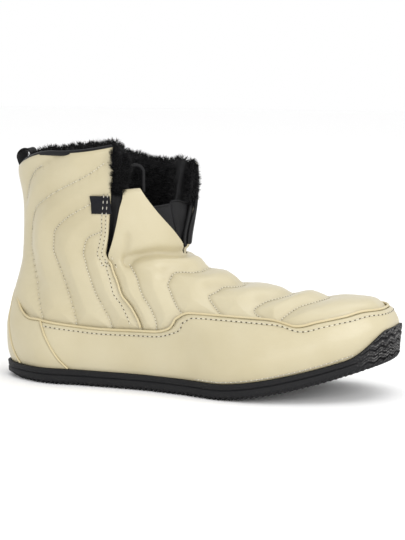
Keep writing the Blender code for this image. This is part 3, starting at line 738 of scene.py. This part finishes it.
# A strip from the feather line up to a level, between its turns at the foot and at the top.
def stripPiece(name, foot, top, high, rows, node):
    spread = np.linspace(0, 1, rows)[:, None]
    turns = foot + (top - foot) * spread
    rowLevels = strips["skirt"] + (high - strips["skirt"]) * spread
    height = strips["lift"] + strips["thick"] - strips["rimDrop"] * np.exp(-rimSteps(rows, len(foot)) / 1.0)
    height = height + strips["wrinkle"] * ripple(skin(turns, rowLevels), 0.035, 8)
    height = height + strips["bulge"] * np.sin(np.pi * spread)
    inner = layer(turns, rowLevels, strips["lift"])
    made = addSheet(name, layer(turns, rowLevels, height), inner, [randLeather])
    soil = strips["soil"] * np.exp(-((rowLevels - strips["skirt"]) / strips["soilLevels"]) ** 2) * np.ones_like(turns)
    paint(made, "fold_shade_and_soil", np.concatenate([soil.ravel(), soil.ravel()]))
    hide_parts(node)


# Turns from one edge of a heel panel to the other, clear of both by the gap in degrees.
def between(start, end, count):
    return start + strips["gap"] + (end - start - 2 * strips["gap"]) * np.linspace(0, 1, count)


fromTop, fromFoot = strips["startTop"] + strips["randGap"], strips["startFoot"] + strips["randGap"]
share = evenShares(fromTop, 360 - fromTop, 0.3, 420)
top = fromTop + (360 - 2 * fromTop) * share
foot = fromFoot + (360 - 2 * fromFoot) * share
stripPiece("rand_strip", foot, top, levelAt(top, randHeight(top) - strips["underCord"]), 30, "rand")
for name, sign in (("heel_counter_outer", 1), ("heel_counter_inner", -1)):
    foot = between(strips["stayFoot"], strips["startFoot"], 50)
    top = between(strips["stayTop"], strips["startTop"], 50)
    high = levelAt(top, heelHeight(top) - strips["underCord"])
    if sign < 0:
        foot, top, high = 360 - foot[::-1], 360 - top[::-1], high[::-1]
    stripPiece(name + "_skin", foot, top, high, 32, name)
foot = between(-strips["stayFoot"], strips["stayFoot"], 46)
top = between(-strips["stayTop"], strips["stayTop"], 46)
stripPiece("heel_stay_skin", foot, top, levelAt(top, heelHeight(top)), 34, "heel_stay")
print("rand and heel made")

# Cords over the seams in metres: radii, lifts of the middle from the skin, and length of a step
piping = {
    "radius": 0.0009,
    "thin": 0.0008,
    "vamp": 0.0008,
    "lift": 0.0013,
    "vampLift": 0.0006,
    "heelLift": 0.0020,
    "step": 0.0012,
    "sides": 10,
}


def cordPiece(name, path, radius, nodes):
    made = addMesh(name, *tube(evenly(path, piping["step"]), radius, piping["sides"]), [cordLeather])
    if nodes:
        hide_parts(*nodes)


turns = np.linspace(-180, 180, 900)
onHeel = np.abs(turns) < strips["startTop"] - 0.5
edgeHeight = np.where(onHeel, heelHeight(turns), randHeight(np.mod(turns, 360)))
edgeLine = layer(turns, levelAt(turns, edgeHeight), 0.0)
run = np.gradient(edgeLine, axis=0)
steep = np.abs(run[:, 2]) / np.linalg.norm(run[:, :2], axis=1)
rise = piping["radius"] - strips["underCord"]
pipedHeight = edgeHeight + rise * np.sqrt(1 + np.minimum(steep, 2.5) ** 2)
path = layer(turns, levelAt(turns, pipedHeight), piping["lift"])
cordPiece("rand_cord", path, piping["radius"], ["rand_piping"])
for name, edgeName, high, low in (("outer", "quarterOuter", 0.80, 0.372), ("inner", "quarterInner", 0.838, 0.385)):
    rows = np.linspace(high, low, 120)
    path = layer(edgeAt(edgeName, rows), rows, piping["vampLift"])
    cordPiece("vamp_cord_" + name, path, piping["vamp"], ["vamp_piping_" + name])
spread = np.linspace(0.02, 0.985, 60)
for name, footTurn, topTurn in (
    ("counter_cord_outer", strips["startFoot"] + 0.2, strips["startTop"] + 0.2),
    ("counter_cord_inner", 359.8 - strips["startFoot"], 359.8 - strips["startTop"]),
    ("stay_cord_outer", strips["stayFoot"], strips["stayTop"]),
    ("stay_cord_inner", -strips["stayFoot"], -strips["stayTop"]),
):
    turns = footTurn + (topTurn - footTurn) * spread
    high = levelAt(np.array([topTurn]), heelHeight(((topTurn + 180) % 360) - 180))
    rows = strips["skirt"] + (high - strips["skirt"]) * spread
    cordPiece(name, layer(turns, rows, piping["heelLift"]), piping["thin"], [])
print("pipings made")

# Stitches in metres: pitch, length and radius of the thread, half length and half width of the hole's mark, and
# lifts from the skin or from the quilting
stitch = {
    "onQuilting": 0.00022,
    "besideEdge": 0.00025,
    "bar": 0.0003,
    "rand": 0.0025,
    "low": 0.0024,
}
dashes = {
    "quilt": {"pitch": 0.0022, "dash": 0.0014, "radius": 0.00032, "holeLong": 0.00036, "holeWide": 0.00024},
    "double": {"pitch": 0.0028, "dash": 0.0017, "radius": 0.00026, "holeLong": 0.00056, "holeWide": 0.00030},
    "rand": {"pitch": 0.0036, "dash": 0.0023, "radius": 0.00026, "holeLong": 0.00066, "holeWide": 0.00044},
    "label": {"pitch": 0.0030, "dash": 0.0022, "radius": 0.00036, "holeLong": 0.00030, "holeWide": 0.00020},
}


# Many small solids of one form, each a stack of rings with closed ends.
def addMany(name, points, finish):
    many, rows, sides = points.shape[:3]
    base = (np.arange(many) * rows * sides)[:, None, None]
    faces = [(part[None] + base).reshape(-1, part.shape[1]) for part in ringFaces(rows, sides)]
    made = addMesh(name, points.reshape(-1, 3), faces, [finish])


# Rows of stitches: each dash is a closed lozenge of six sides along the row, with a flat oval hole's mark after it.
# With a pinhole finish that mark is painted shade of the stitch hole.
def stitchRows(name, rows, look, size, pin):
    starts, ways, ups = [], [], []
    for turn, level, lift in rows:
        path = layer(turn, level, lift)
        pairs = evenly(path, size["pitch"])
        run = lengthAlong(path)
        at = np.linspace(0, run[-1], len(pairs))
        starts.append(pairs)
        ways.append(np.gradient(pairs, axis=0))
        ups.append(outward(np.mod(np.interp(at, run, turn), 360), np.interp(at, run, level)))
    middle = np.concatenate(starts)
    way = unit(np.concatenate(ways))
    up = np.concatenate(ups)
    side = unit(np.cross(way, up))
    stations = np.array([-1.0, -0.8, 0.0, 0.8, 1.0]) * size["dash"] / 2
    widths = np.array([0.25, 0.85, 1.0, 0.85, 0.25]) * size["radius"]
    drops = np.array([-0.9, -0.35, 0.0, -0.35, -0.9]) * size["radius"]
    local = way[:, None, :] * stations[None, :, None] + up[:, None, :] * drops[None, :, None]
    ring = circle(side, up, 6)[:, None] * widths[None, :, None, None]
    addMany(name, middle[:, None, None, :] + local[:, :, None, :] + ring, look)
    places = (middle + way * size["pitch"] / 2)[:, None, :]
    oval = circle(way * size["holeLong"], side * size["holeWide"], 8)
    foot = places + oval - up[:, None, :] * 0.0003
    top = places + oval * 0.85 + up[:, None, :] * 0.00008
    addMany(name + "_holes", np.stack([foot, top], axis=1), pin)


# Flat ovals at the stitch holes, dark and mid-grey: painted shade of the holes
darkHoleShade = threadMaterial("dark_pinhole_shade", (0.085, 0.068, 0.045, 1), (0.045, 0.036, 0.024, 1))
paleHoleShade = threadMaterial("pale_pinhole_shade", (0.25, 0.22, 0.16, 1), (0.17, 0.15, 0.11, 1))
panelOf = {"quarter": "quarters", "vamp": "vamp_and_tongue"}
rows = []
for part, turn, level in shown:
    clear = (level > randLevelAt(turn) + 0.022) & (level < 0.985)
    if clear.sum() > 3:
        turn, level = turn[clear], level[clear]
        rows.append((turn, level, onPanel(panelOf[part], turn, level) + stitch["onQuilting"]))
stitchRows("quilting_stitches", rows, thread, dashes["quilt"], paleHoleShade)


# A row of stitches beside an edge: the edge's own turns moved by an offset in degrees at each level.
def besideEdge(edgeName, offset, low, high):
    rows = np.linspace(low, high, 160)
    turns = edgeAt(edgeName, rows) + offset
    part = "quarters" if edgeName.startswith("quarter") else "vamp_and_tongue"
    return turns, rows, onPanel(part, turns, rows) + stitch["besideEdge"]


rows = [besideEdge(*row) for row in (
    ("quarterOuter", -3.2, 0.40, 0.78),
    ("quarterOuter", -2.2, 0.775, 0.935),
    ("quarterOuter", -5.0, 0.775, 0.925),
    ("tongueOuter", 2.6, 0.770, 0.815),
    ("quarterInner", 3.2, 0.40, 0.81),
    ("quarterInner", 2.3, 0.845, 0.962),
    ("quarterInner", 5.2, 0.845, 0.962),
)]
barLevels = np.full(30, 0.772)
barTurns = np.linspace(-5.6, 1.0, 30) + edgeAt("quarterOuter", barLevels)
rows.append((barTurns, barLevels, onPanel("quarters", barTurns, barLevels) + stitch["bar"]))
stitchRows("seam_stitches", rows, thread, dashes["double"], darkHoleShade)
turns = np.linspace(45.5, 314.5, 900)
steepAt = np.interp(turns, np.linspace(-180, 180, 900) % 360, steep, period=360)
edgeHeight = randHeight(turns) - 0.0028 * np.sqrt(1 + steepAt**2)
rows = [(turns, levelAt(turns, edgeHeight), stitch["rand"])]
stitchRows("rand_stitches", rows, thread, dashes["rand"], darkHoleShade)
pairs = through([(98, 0.038), (105.5, 0.038), (130.2, 0.038), (148.8, 0.040)], 200)
rows = [(pairs[:, 0], pairs[:, 1], stitch["low"]), (360 - pairs[::-1, 0], pairs[::-1, 1], stitch["low"])]
stitchRows("low_stitches", rows, paleThread, dashes["rand"], thread)
print("stitches made")

# Rubber sole: tread teeth along the foot, a groove in the side, a lip, and waves over the toe bumper
sole = {
    "columns": 860,
    "teeth": 172,
    "toothDrift": 0.15,
    "driftWaves": 190,
    "heelSpread": 55,
    "heelSlope": 50,
    "inset": 0.0020,
    "rise": 0.0020,
    "tooth": 0.0016,
    "bevel": 0.0035,
    "grooveAt": 0.72,
    "groove": 0.0008,
    "lip": 0.0022,
    "bumper": 0.0122,
    "bumperTurn": 178.0,
    "bumperSpread": 32.0,
    "bumperSlope": 24.0,
    "waveGap": 0.0050,
    "waveHeight": 0.0022,
    "waveTurn": 7.5,
    "waveDepth": 0.0017,
    "ribGap": 0.0019,
    "ribDepth": 0.00070,
    "tread": 0.0016,
    "chevron": 0.0085,
    "chevronMiddle": 0.002,
    "longGroove": 0.012,
}


# Triangle wave from 0 to 1 with a period of 1.
def zigzag(value):
    return np.abs(2 * (value - np.floor(value + 0.5)))


def soleRings():
    count = sole["columns"]
    share = evenShares(0.0, 360.0, 0.0, count + 1)[:-1]
    turns = share * 360
    around = np.arange(count) / count
    toe = ease((sole["bumperSpread"] - np.abs(turns - sole["bumperTurn"])) / sole["bumperSlope"])
    heel = ease((sole["heelSpread"] - np.abs((turns + 180) % 360 - 180)) / sole["heelSlope"])
    drift = sole["toothDrift"] * np.sin(around * sole["driftWaves"])
    tooth = np.clip(zigzag(around * sole["teeth"] + drift) * 2.4 - 0.7, 0, 1)
    full = boot["lipInset"]
    low = skin(turns, 0.0)[:, 2]
    rings = [feather(turns, full - sole["inset"] - sole["bevel"] * heel, sole["tooth"] * tooth)]
    rise = sole["rise"] + 0.0010 * tooth + 0.5 * sole["bevel"] * heel
    foot = feather(turns, full - 0.0005 * (1 - tooth), rise)
    rings.append((rings[0] + foot) / 2 - upright * 0.0002 * (1 - tooth)[:, None])
    rings.append(foot)

    # Depth of the waves and ribs at a height above the sole's underside; it also adds the painted highlight on the
    # ribs' crests
    def waves(height):
        moved = height + sole["waveHeight"] * zigzag(turns / sole["waveTurn"])
        beside = np.abs(moved / sole["waveGap"] - np.round(moved / sole["waveGap"])) * sole["waveGap"]
        made = sole["waveDepth"] * np.exp(-(beside / 0.0006) ** 2)
        rib = 0.5 + 0.5 * np.cos(2 * np.pi * (moved / sole["ribGap"] + 0.25 * zigzag(turns / 2.1)))
        crest_highlight.append((1 - rib) * np.clip(beside / 0.0008 - 0.6, 0, 1) * toe)
        return (made + sole["ribDepth"] * rib) * toe

    # Painted highlight on the toe's teeth and lip, and on the ribs' crests below
    crest_highlight = [0.25 * tooth * toe] * 3
    for part in np.linspace(0.36, 0.92, 18):
        height = part * boot["soleSide"]
        groove = sole["groove"] * np.exp(-((part - sole["grooveAt"]) / 0.05) ** 2) * (1 - toe)
        rings.append(feather(turns, full - groove - waves(height), height))
    reach = sole["lip"] + sole["bumper"] * toe
    lipLevel = levelAt(turns, low + reach)
    for part in np.linspace(0.04, 0.93, 40):
        height = boot["soleSide"] + reach * part
        rings.append(layer(turns, lipLevel * part, full - waves(height)))
    for part, depth in ((0.98, full - 0.0002), (1.0, full - 0.0007), (1.0, boot["lipRoom"]), (0.45, boot["lipRoom"])):
        rings.append(layer(turns, lipLevel * part, depth))
    rings.append(feather(turns, boot["lipRoom"], boot["soleSide"] - 0.0003))
    crest_highlight += [0.3 * toe, 0.3 * toe] + [0 * toe] * 3
    return np.array(rings), np.array(crest_highlight)


# Rungs from the outer to the inner side of a ring, lifted by the tread's grooves between the edges.
def rungGrid(edge, rungs, tread):
    half = len(edge) // 2
    outer = edge[1:half]
    inner = edge[:half:-1]
    across = np.linspace(0, 1, rungs + 1)[None, :, None]
    grid = outer[:, None] * (1 - across) + inner[:, None] * across
    middle = 4 * across[..., 0] * (1 - across[..., 0])
    x, y = grid[..., 0] - shift[0], grid[..., 1] - shift[1]
    chevron = zigzag((x + 0.5 * np.abs(y - sole["chevronMiddle"])) / sole["chevron"])
    long = zigzag(y / sole["longGroove"] + 0.5)
    cut = np.maximum(np.clip((chevron - 0.62) * 8, 0, 1), np.clip((long - 0.90) * 12, 0, 1))
    lift = springAt(x) + tread * cut * np.clip(middle * 5 - 0.4, 0, 1)
    inside = np.clip(middle * 9, 0, 1)
    grid[..., 2] = grid[..., 2] * (1 - inside) + lift * inside
    grid[:, 0] = outer
    grid[:, -1] = inner
    return grid


rings, crest_highlight = soleRings()
count = sole["columns"]
under = rungGrid(rings[0], 44, sole["tread"])
upperSide = rungGrid(rings[-1], 4, 0.0)
upperSide[..., 2] = upperSide[:, :1, 2]
parts = [rings.reshape(-1, 3), under.reshape(-1, 3), upperSide.reshape(-1, 3)]
starts = np.cumsum([0] + [len(part) for part in parts])
faces = [quads(len(rings), count, True)]
for grid, start, ring, flip in ((under, starts[1], 0, False), (upperSide, starts[2], len(rings) - 1, True)):
    rows, columns = grid.shape[:2]
    here = start + np.arange(columns - 1)
    last = here + (rows - 1) * columns
    heel = np.stack([np.full(columns - 1, ring * count), here + 1, here], axis=1)
    toe = np.stack([np.full(columns - 1, ring * count + count // 2), last, last + 1], axis=1)
    for net in (quads(rows, columns, False, start), heel, toe):
        faces.append(net[:, ::-1] if flip else net)
soleMesh = addMesh("sole_rubber", np.concatenate(parts), faces, [rubber])
paint(soleMesh, "crest_highlight", np.concatenate([crest_highlight.ravel(), np.zeros(starts[3] - starts[1])]))


# Joins the points of a piece that lie together, and turns its faces outwards.
def weld(made, apart):
    net = bmesh.new()
    net.from_mesh(made.data)
    bmesh.ops.remove_doubles(net, verts=net.verts, dist=apart)
    bmesh.ops.recalc_face_normals(net, faces=net.faces)
    net.to_mesh(made.data)
    net.free()


weld(soleMesh, 0.00001)
soleMesh.data.set_sharp_from_angle(angle=math.radians(38))
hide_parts("outsole")
print("sole made")

# Depths of the nylon behind the wall and of the pile behind the nylon
cloth = {"out": -0.0038, "in": -0.0048, "pile": -0.0054, "pileDepth": 0.0085}


def clothPiece(name, turns, rowLevels, folds, node):
    outer = layer(turns, rowLevels, cloth["out"] + folds)
    made = addSheet(name, outer, layer(turns, rowLevels, cloth["in"] + folds), [nylon])
    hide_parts(node)
    return outer


# Nylon behind the slit and the cut-out, with soft upright folds
rows = np.linspace(0.775, 0.945, 54)[:, None]
share = np.linspace(0, 1, 30)[None, :]
start = edgeAt("quarterOuter", rows) - 7
end = edgeAt("tongueOuter", rows) + 4
folds = 0.0004 * np.sin(share * 9 + rows * 30) - 0.0006 * np.exp(-((share - 0.5) / 0.14) ** 2)
clothPiece("gusset_outer_cloth", start + (end - start) * share, rows, folds, "gusset_outer")
share = np.linspace(0, 1, 100)[None, :]
top = 0.924 + 0.006 * share + 0.030 * ease((share - 0.55) / 0.40)
rowLevels = 0.822 + (top - 0.822) * np.linspace(0, 1, 60)[:, None]
start = edgeAt("tongueInner", rowLevels[:, :1]) - 7
start = np.maximum(start, edgeAt("tongueOuter", rowLevels[:, :1]) + 6)
end = edgeAt("quarterInner", rowLevels[:, -1:]) + 7
turns = start + (end - start) * share
folds = -0.0016 * np.exp(-((share - 0.62 + 0.15 * (top - rowLevels) * 8) / 0.07) ** 2)
folds = folds + 0.0009 * np.exp(-((share - 0.78) / 0.08) ** 2) + 0.0003 * ripple(skin(turns, rowLevels), 0.02, 5)
face = clothPiece("gusset_inner_cloth", turns, rowLevels, folds, "gusset_inner")
hem = addMesh("gusset_hem", *tube(evenly(face[-1], 0.001), 0.0007, 8), [nylon])
print("gussets made")

# Deep pile: a lumpy body with thousands of tapering hairs that lean together in tufts. Its rows go up the inside,
# over the crown and down the outside, and those from lumpRows on are hidden.
pile = {
    "rise": 0.0014,
    "roll": 0.0085,
    "drop": 0.0065,
    "dropRows": 7,
    "columns": 290,
    "wallRows": 40,
    "crownRows": 10,
    "lumpRows": 56,
    "step": 0.0007,
    "sides": 28,
    "hairs": 24500,
    "rollHairs": (5500, 2800),
    "length": (0.0034, 0.0060),
    "crownLength": 0.72,
    "rollLength": (0.0024, 0.0042),
    "thick": 0.00034,
    "tuftSize": 0.006,
    "lean": (0.45, 0.28, 0.10),
    "droop": (0.9, 0.30),
    "loopHalf": 10.13,
}
inside = cloth["pile"] - cloth["pileDepth"]
share = np.linspace(0, 1, pile["columns"])
foot = 0.90 - 0.06 * ease(share * 5) * ease((1 - share) * 5)


# Turn and level of the pile's columns at a share of its height, and how far the roll reaches there.
def pileTurns(up):
    level = foot + (1 - foot) * up
    start = edgeAt("quarterInner", level) + 1.0
    reach = ease((level - 0.945) / 0.03)
    end = edgeAt("quarterOuter", level) + 359.0 + 9.0 * reach
    past = ease((share - 0.976) / 0.018) * reach
    return start + (end - start) * share, level, past


insideUp = np.linspace(0, 1, pile["wallRows"])
profile = []
for up in insideUp:
    turn, level, past = pileTurns(up)
    profile.append(layer(turn, level, inside + pile["roll"] * 0.4 * past))
innerTop = profile[-1]
turn, level, past = pileTurns(1.0)
outerTop = layer(turn, level, cloth["pile"] + pile["roll"] * past)
clear = 1 - ease((pile["loopHalf"] + 9 - np.abs(turn - 360)) / 5)
crown = (0.0003 + (pile["rise"] + 0.0010) * clear)[:, None]
for a in np.linspace(0.08, 0.92, pile["crownRows"]):
    profile.append(innerTop + (outerTop - innerTop) * a + upright * crown * np.sin(np.pi * a) ** 0.5)
for up in insideUp[::-1]:
    turn, level, past = pileTurns(up)
    profile.append(layer(turn, level, cloth["pile"] + pile["roll"] * past))
turn, level, past = pileTurns(1.0)
profile = np.array(profile)
rows, columns = profile.shape[:2]
crownRow = pile["wallRows"] + (pile["crownRows"] - 1) / 2
nearCrown = np.exp(-((np.arange(rows) - crownRow) / pile["dropRows"]) ** 2)[:, None]
profile[..., 2] -= pile["drop"] * past[None, :] * nearCrown
along = np.gradient(profile, axis=1)
upward = np.gradient(profile, axis=0)
normal = unit(np.cross(upward, along))
lump = 0.0006 * ripple(profile, 0.011, 21) + 0.0003 * ripple(profile, 0.005, 22)
lump[pile["lumpRows"]:] = 0
body = profile + normal * lump[..., None]
net = quads(rows, columns)[:, ::-1]
ringed = np.arange(columns - 1)
last = (rows - 1) * columns
net = np.concatenate([net, np.stack([last + ringed, last + ringed + 1, ringed + 1, ringed], axis=1)[:, ::-1]])
caps = [np.arange(rows)[None] * columns, (np.arange(rows)[None] * columns + columns - 1)[:, ::-1]]
furBody = addMesh("fur_body", body.reshape(-1, 3), [net] + caps, [fur])
weld(furBody, 0.000001)
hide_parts("fur_lining")


# A fluffy roll along a path: round rings that close like domes at both ends, with low lumps. It returns places and
# directions for its hairs.
def furRoll(name, path, radius):
    path = evenly(path, pile["step"])
    heading = unit(np.gradient(path, axis=0))
    side = unit(np.cross(heading, (0.0, 1.0, 0.0)))
    along = np.linspace(-1, 1, len(path))
    grow = np.sqrt(np.clip(1 - np.abs(along) ** 5, 0.01, 1))
    ring = circle(side, np.cross(side, heading), pile["sides"])
    points = path[:, None] + ring * (radius * grow)[:, None, None]
    points = points + ring * (0.0006 * grow[:, None] * ripple(points, 0.010, 23))[..., None]
    points = points.reshape(-1, 3)
    made = addMesh(name, points, ringFaces(len(path), pile["sides"]), [fur])
    lean = ring + heading[:, None] * (along**5)[:, None, None]
    return points, unit(lean).reshape(-1, 3)


edgeLevels = np.linspace(0.946, 0.992, 40)
frontTurns = edgeAt("quarterOuter", edgeLevels) + 4.6
nearPath = layer(frontTurns, edgeLevels, -0.0012)
pastEnd = np.array([[-0.0020, 0.0, -0.0004], [-0.0045, 0.0, -0.0010]])
nearPath = np.concatenate([nearPath, nearPath[-1:] + pastEnd])
edgeLevels = np.linspace(0.950, 1.0, 40)
farPath = layer(edgeAt("quarterInner", edgeLevels) - 0.5, edgeLevels, -0.0020)
rolls = [furRoll("fur_roll_outer", nearPath, 0.0050), furRoll("fur_roll_inner", farPath, 0.0030)]

rng = np.random.default_rng(7)
area = np.linalg.norm(np.cross(along, upward), axis=-1)
crownEnd = pile["wallRows"] + pile["crownRows"]
area[pile["lumpRows"] + 1:] = 0
area[pile["wallRows"]:crownEnd + 2] *= 2.2
chance = (area / area.sum()).ravel()
picked = rng.choice(rows * columns, pile["hairs"], p=chance)
root = [body.reshape(-1, 3)[picked]]
way = [normal.reshape(-1, 3)[picked]]
crowned = (picked // columns > pile["wallRows"] - 3) & (picked // columns < crownEnd + 4)
length = [rng.uniform(*pile["length"], pile["hairs"]) * np.where(crowned, pile["crownLength"], 1.0)]
for (places, leans), hairCount in zip(rolls, pile["rollHairs"]):
    picked = rng.integers(0, len(places), hairCount)
    root.append(places[picked])
    way.append(leans[picked])
    length.append(rng.uniform(*pile["rollLength"], hairCount))
root, way, length = np.concatenate(root), np.concatenate(way), np.concatenate(length)
root = root + rng.normal(0, 0.0003, root.shape)
tuft = np.stack([ripple(root, pile["tuftSize"], seed) for seed in (31, 32, 33)], axis=1)
together, apart, up = pile["lean"]
lean = unit(way + together * tuft + rng.normal(0, apart, root.shape) + up * upright)
together, apart = pile["droop"]
droop = unit(way + together * tuft + rng.normal(0, apart, root.shape))
wide = unit(np.cross(lean, rng.normal(0, 1, root.shape)))
stations = np.array([-0.1, 0.4, 0.75, 1.0])
widths = np.array([1.0, 0.85, 0.5, 0.0])
bend = lean[:, None] * stations[None, :, None] + 0.30 * droop[:, None] * (stations**2)[None, :, None]
line = root[:, None] + bend * length[:, None, None] * 0.85
half = wide[:, None] * (widths * pile["thick"] / 2)[None, :, None]
points = np.concatenate([(line - half)[:, :3], (line + half)[:, :3], line[:, 3:]], axis=1)
base = (np.arange(len(root)) * 7)[:, None, None]
blades = np.array([[0, 3, 4, 1], [1, 4, 5, 2]])[None] + base
tips = np.array([[2, 5, 6]])[None] + base
hairs = addMesh("fur_hairs", points.reshape(-1, 3), [blades.reshape(-1, 4), tips.reshape(-1, 3)], [fur])
print("fur made with", len(root), "hairs")

# Black binding over the collar's rim and down the inner quarter's front edge
endTurn = edgeAt("quarterOuter", 1.0) + 359.3
startTurn = edgeAt("quarterInner", 1.0) - 0.3
downLevels = np.linspace(1.0, 0.865, 60)
bindTurns = np.concatenate([np.linspace(endTurn, startTurn, 300), edgeAt("quarterInner", downLevels) - 0.3])
path = layer(bindTurns, np.concatenate([np.ones(300), downLevels]), -0.0014)
binding = addMesh("collar_binding", *tube(evenly(path, 0.0012), 0.0019, 12), [nylon])
rowLevels = np.tile(np.linspace(0.868, 0.998, 70)[:, None], (1, 14))
turns = edgeAt("quarterInner", rowLevels) + np.linspace(-1.1, 6.0, 14)[None, :]
height = onPanel("quarters", turns, rowLevels)
sheets = [layer(turns, rowLevels, height + lift) for lift in (0.0008, -0.0008)]
band = addSheet("quarter_binding", *sheets, [nylon])

# Webbing loop over the back of the collar
loop = {"rise": 0.0140, "half": 10.13, "footLevel": 0.955, "thick": 0.0010}
legs = np.linspace(loop["footLevel"], 1.0, 14)
outerLeg = 0.0003 + loop["thick"] / 2
innerLeg = -boot["wall"] - 0.0003 - loop["thick"] / 2
middle = (outerLeg + innerLeg) / 2
radius = loop["rise"] * 0.35
swing = np.radians(np.linspace(-20, 200, 40))
level = np.concatenate([legs, np.ones(len(swing)), legs[::-1]])
still = np.zeros(len(legs))
depth = np.concatenate([still + outerLeg, middle + radius * np.cos(swing), still + innerLeg])
height = np.concatenate([still, loop["rise"] - radius + radius * np.sin(swing), still])
heading = np.stack([np.gradient(depth), np.gradient(height + level * boot["collar"])])
heading /= np.linalg.norm(heading, axis=0)
turns = np.tile(np.linspace(-loop["half"], loop["half"], 48), (len(level), 1))
ribs = 0.00010 * np.sin(np.linspace(0, 1, 48) * np.pi * 22)[None, :]
sheets = []
for side in (1, -1):
    out = side * (loop["thick"] / 2 + ribs)
    sheet = layer(turns, level[:, None], depth[:, None] + out * heading[1][:, None])
    sheet[..., 2] += height[:, None] - out * heading[0][:, None]
    sheets.append(sheet)
made = addSheet("heel_webbing", *sheets, [webbing])
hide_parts("heel_loop")

# Round pull loop on the front panel
pull = {"turn": 132.0, "rise": 0.0160, "span": 0.0120, "foot": 0.0030, "radius": 0.0013}
base = layer(pull["turn"], boot["tongueTop"], cloth["in"] + 0.0005)
beside = layer(pull["turn"] + 2, boot["tongueTop"], cloth["in"] + 0.0005) - base
beside /= np.linalg.norm(beside)
reach = pull["span"] / 2
swing = np.linspace(np.pi, 0, 40)[:, None]
arc = base + beside * reach * np.cos(swing) + upright * (pull["rise"] - reach + reach * np.sin(swing))
leg = np.linspace(-pull["foot"], pull["rise"] - reach, 20)[:, None] * upright
path = np.concatenate([base - beside * reach + leg, arc[1:-1], (base + beside * reach + leg)[::-1]])
made = addMesh("tongue_pull", *tube(path, pull["radius"], 10), [webbing])
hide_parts("tongue_loop")

# Woven tab on the outer quarter's front edge, bare, held by two rows of pale stitches
tab = {"turns": (98.6, 112.6), "low": 0.818, "high": 0.900, "follow": 0.6, "lift": 0.0007}
turns = np.tile(np.linspace(*tab["turns"], 60), (36, 1))
low = levelAt(turns[0], tab["low"] * boot["collar"])
high = levelAt(turns[0], tab["high"] * boot["collar"])
rowLevels = low + (high - low) * np.linspace(0, 1, 36)[:, None]
height = padding(turns, rowLevels)[0] * tab["follow"] + tab["lift"]
made = addSheet("woven_tab", *[layer(turns, rowLevels, height + lift) for lift in (0.0006, -0.0004)], [label])
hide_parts("side_tab")
rows = []
for offset in (-2.0, -4.8):
    rowLevels = np.linspace(low[40], high[40], 40)
    turns = edgeAt("quarterOuter", rowLevels) + offset
    rows.append((turns, rowLevels, padding(turns, rowLevels)[0] * tab["follow"] + 2 * tab["lift"]))
stitchRows("tab_stitches", rows, paleThread, dashes["label"], darkHoleShade)
print("loops and tab made")

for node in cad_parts.values():
    if node.name.startswith("insole"):
        node.data.materials.clear()
        node.data.materials.append(felt)

# Camera at the photograph's angle, in metres from the boot's middle on the floor, focal length in pixels of a
# picture 540 pixels high
view = {
    "turn": 22.0,
    "away": 1.15,
    "height": 0.230,
    "aim": (0.0046, 0.0018, 0.0815),
    "focal": 1639.0,
    "pixels": 540.0,
    "sensor": 36.0,
}
camera = bpy.data.objects.new("camera", bpy.data.cameras.new("camera"))
bpy.context.scene.collection.objects.link(camera)
angle = math.radians(view["turn"])
spot = Vector((view["away"] * math.sin(angle), -view["away"] * math.cos(angle), view["height"]))
camera.location = spot
camera.rotation_euler = (Vector(view["aim"]) - spot).to_track_quat("-Z", "Y").to_euler()
camera.data.sensor_width = view["sensor"]
camera.data.lens = view["focal"] / view["pixels"] * view["sensor"]
bpy.context.scene.camera = camera

# Pale floor and soft studio light
corners = [(x, y, -0.0002) for x, y in ((-6, -6), (6, -6), (6, 6), (-6, 6))]
floorPaint = newMaterial("floor_paint", {"Base Color": (0.985, 0.985, 0.985, 1), "Roughness": 0.9})[0]
floor = addMesh("floor", corners, [np.array([[0, 1, 2, 3]])], [floorPaint])


# A round lamp turned towards the middle of the boot.
def addLight(name, where, size, power, colour):
    lamp = bpy.data.lights.new(name, "AREA")
    lamp.shape = "DISK"
    lamp.size = size
    lamp.energy = power
    lamp.color = colour
    made = bpy.data.objects.new(name, lamp)
    made.location = where
    made.rotation_euler = (Vector((0, 0, 0.08)) - Vector(where)).to_track_quat("-Z", "Y").to_euler()
    bpy.context.scene.collection.objects.link(made)


addLight("key", (1.5, -1.2, 0.9), 1.3, 15.0, (1.0, 0.99, 0.97))
addLight("top", (0.6, 0.1, 1.9), 1.6, 8.0, (1.0, 1.0, 1.0))
addLight("low", (0.4, -1.6, 0.16), 0.9, 4.0, (1.0, 1.0, 1.0))
world = bpy.context.scene.world or bpy.data.worlds.new("studio")
bpy.context.scene.world = world
world.use_nodes = True
background = world.node_tree.nodes["Background"]
background.inputs["Color"].default_value = (1.0, 1.0, 1.0, 1)
background.inputs["Strength"].default_value = 1.0
bpy.context.scene.view_settings.view_transform = "Standard"
print("camera and lights placed")
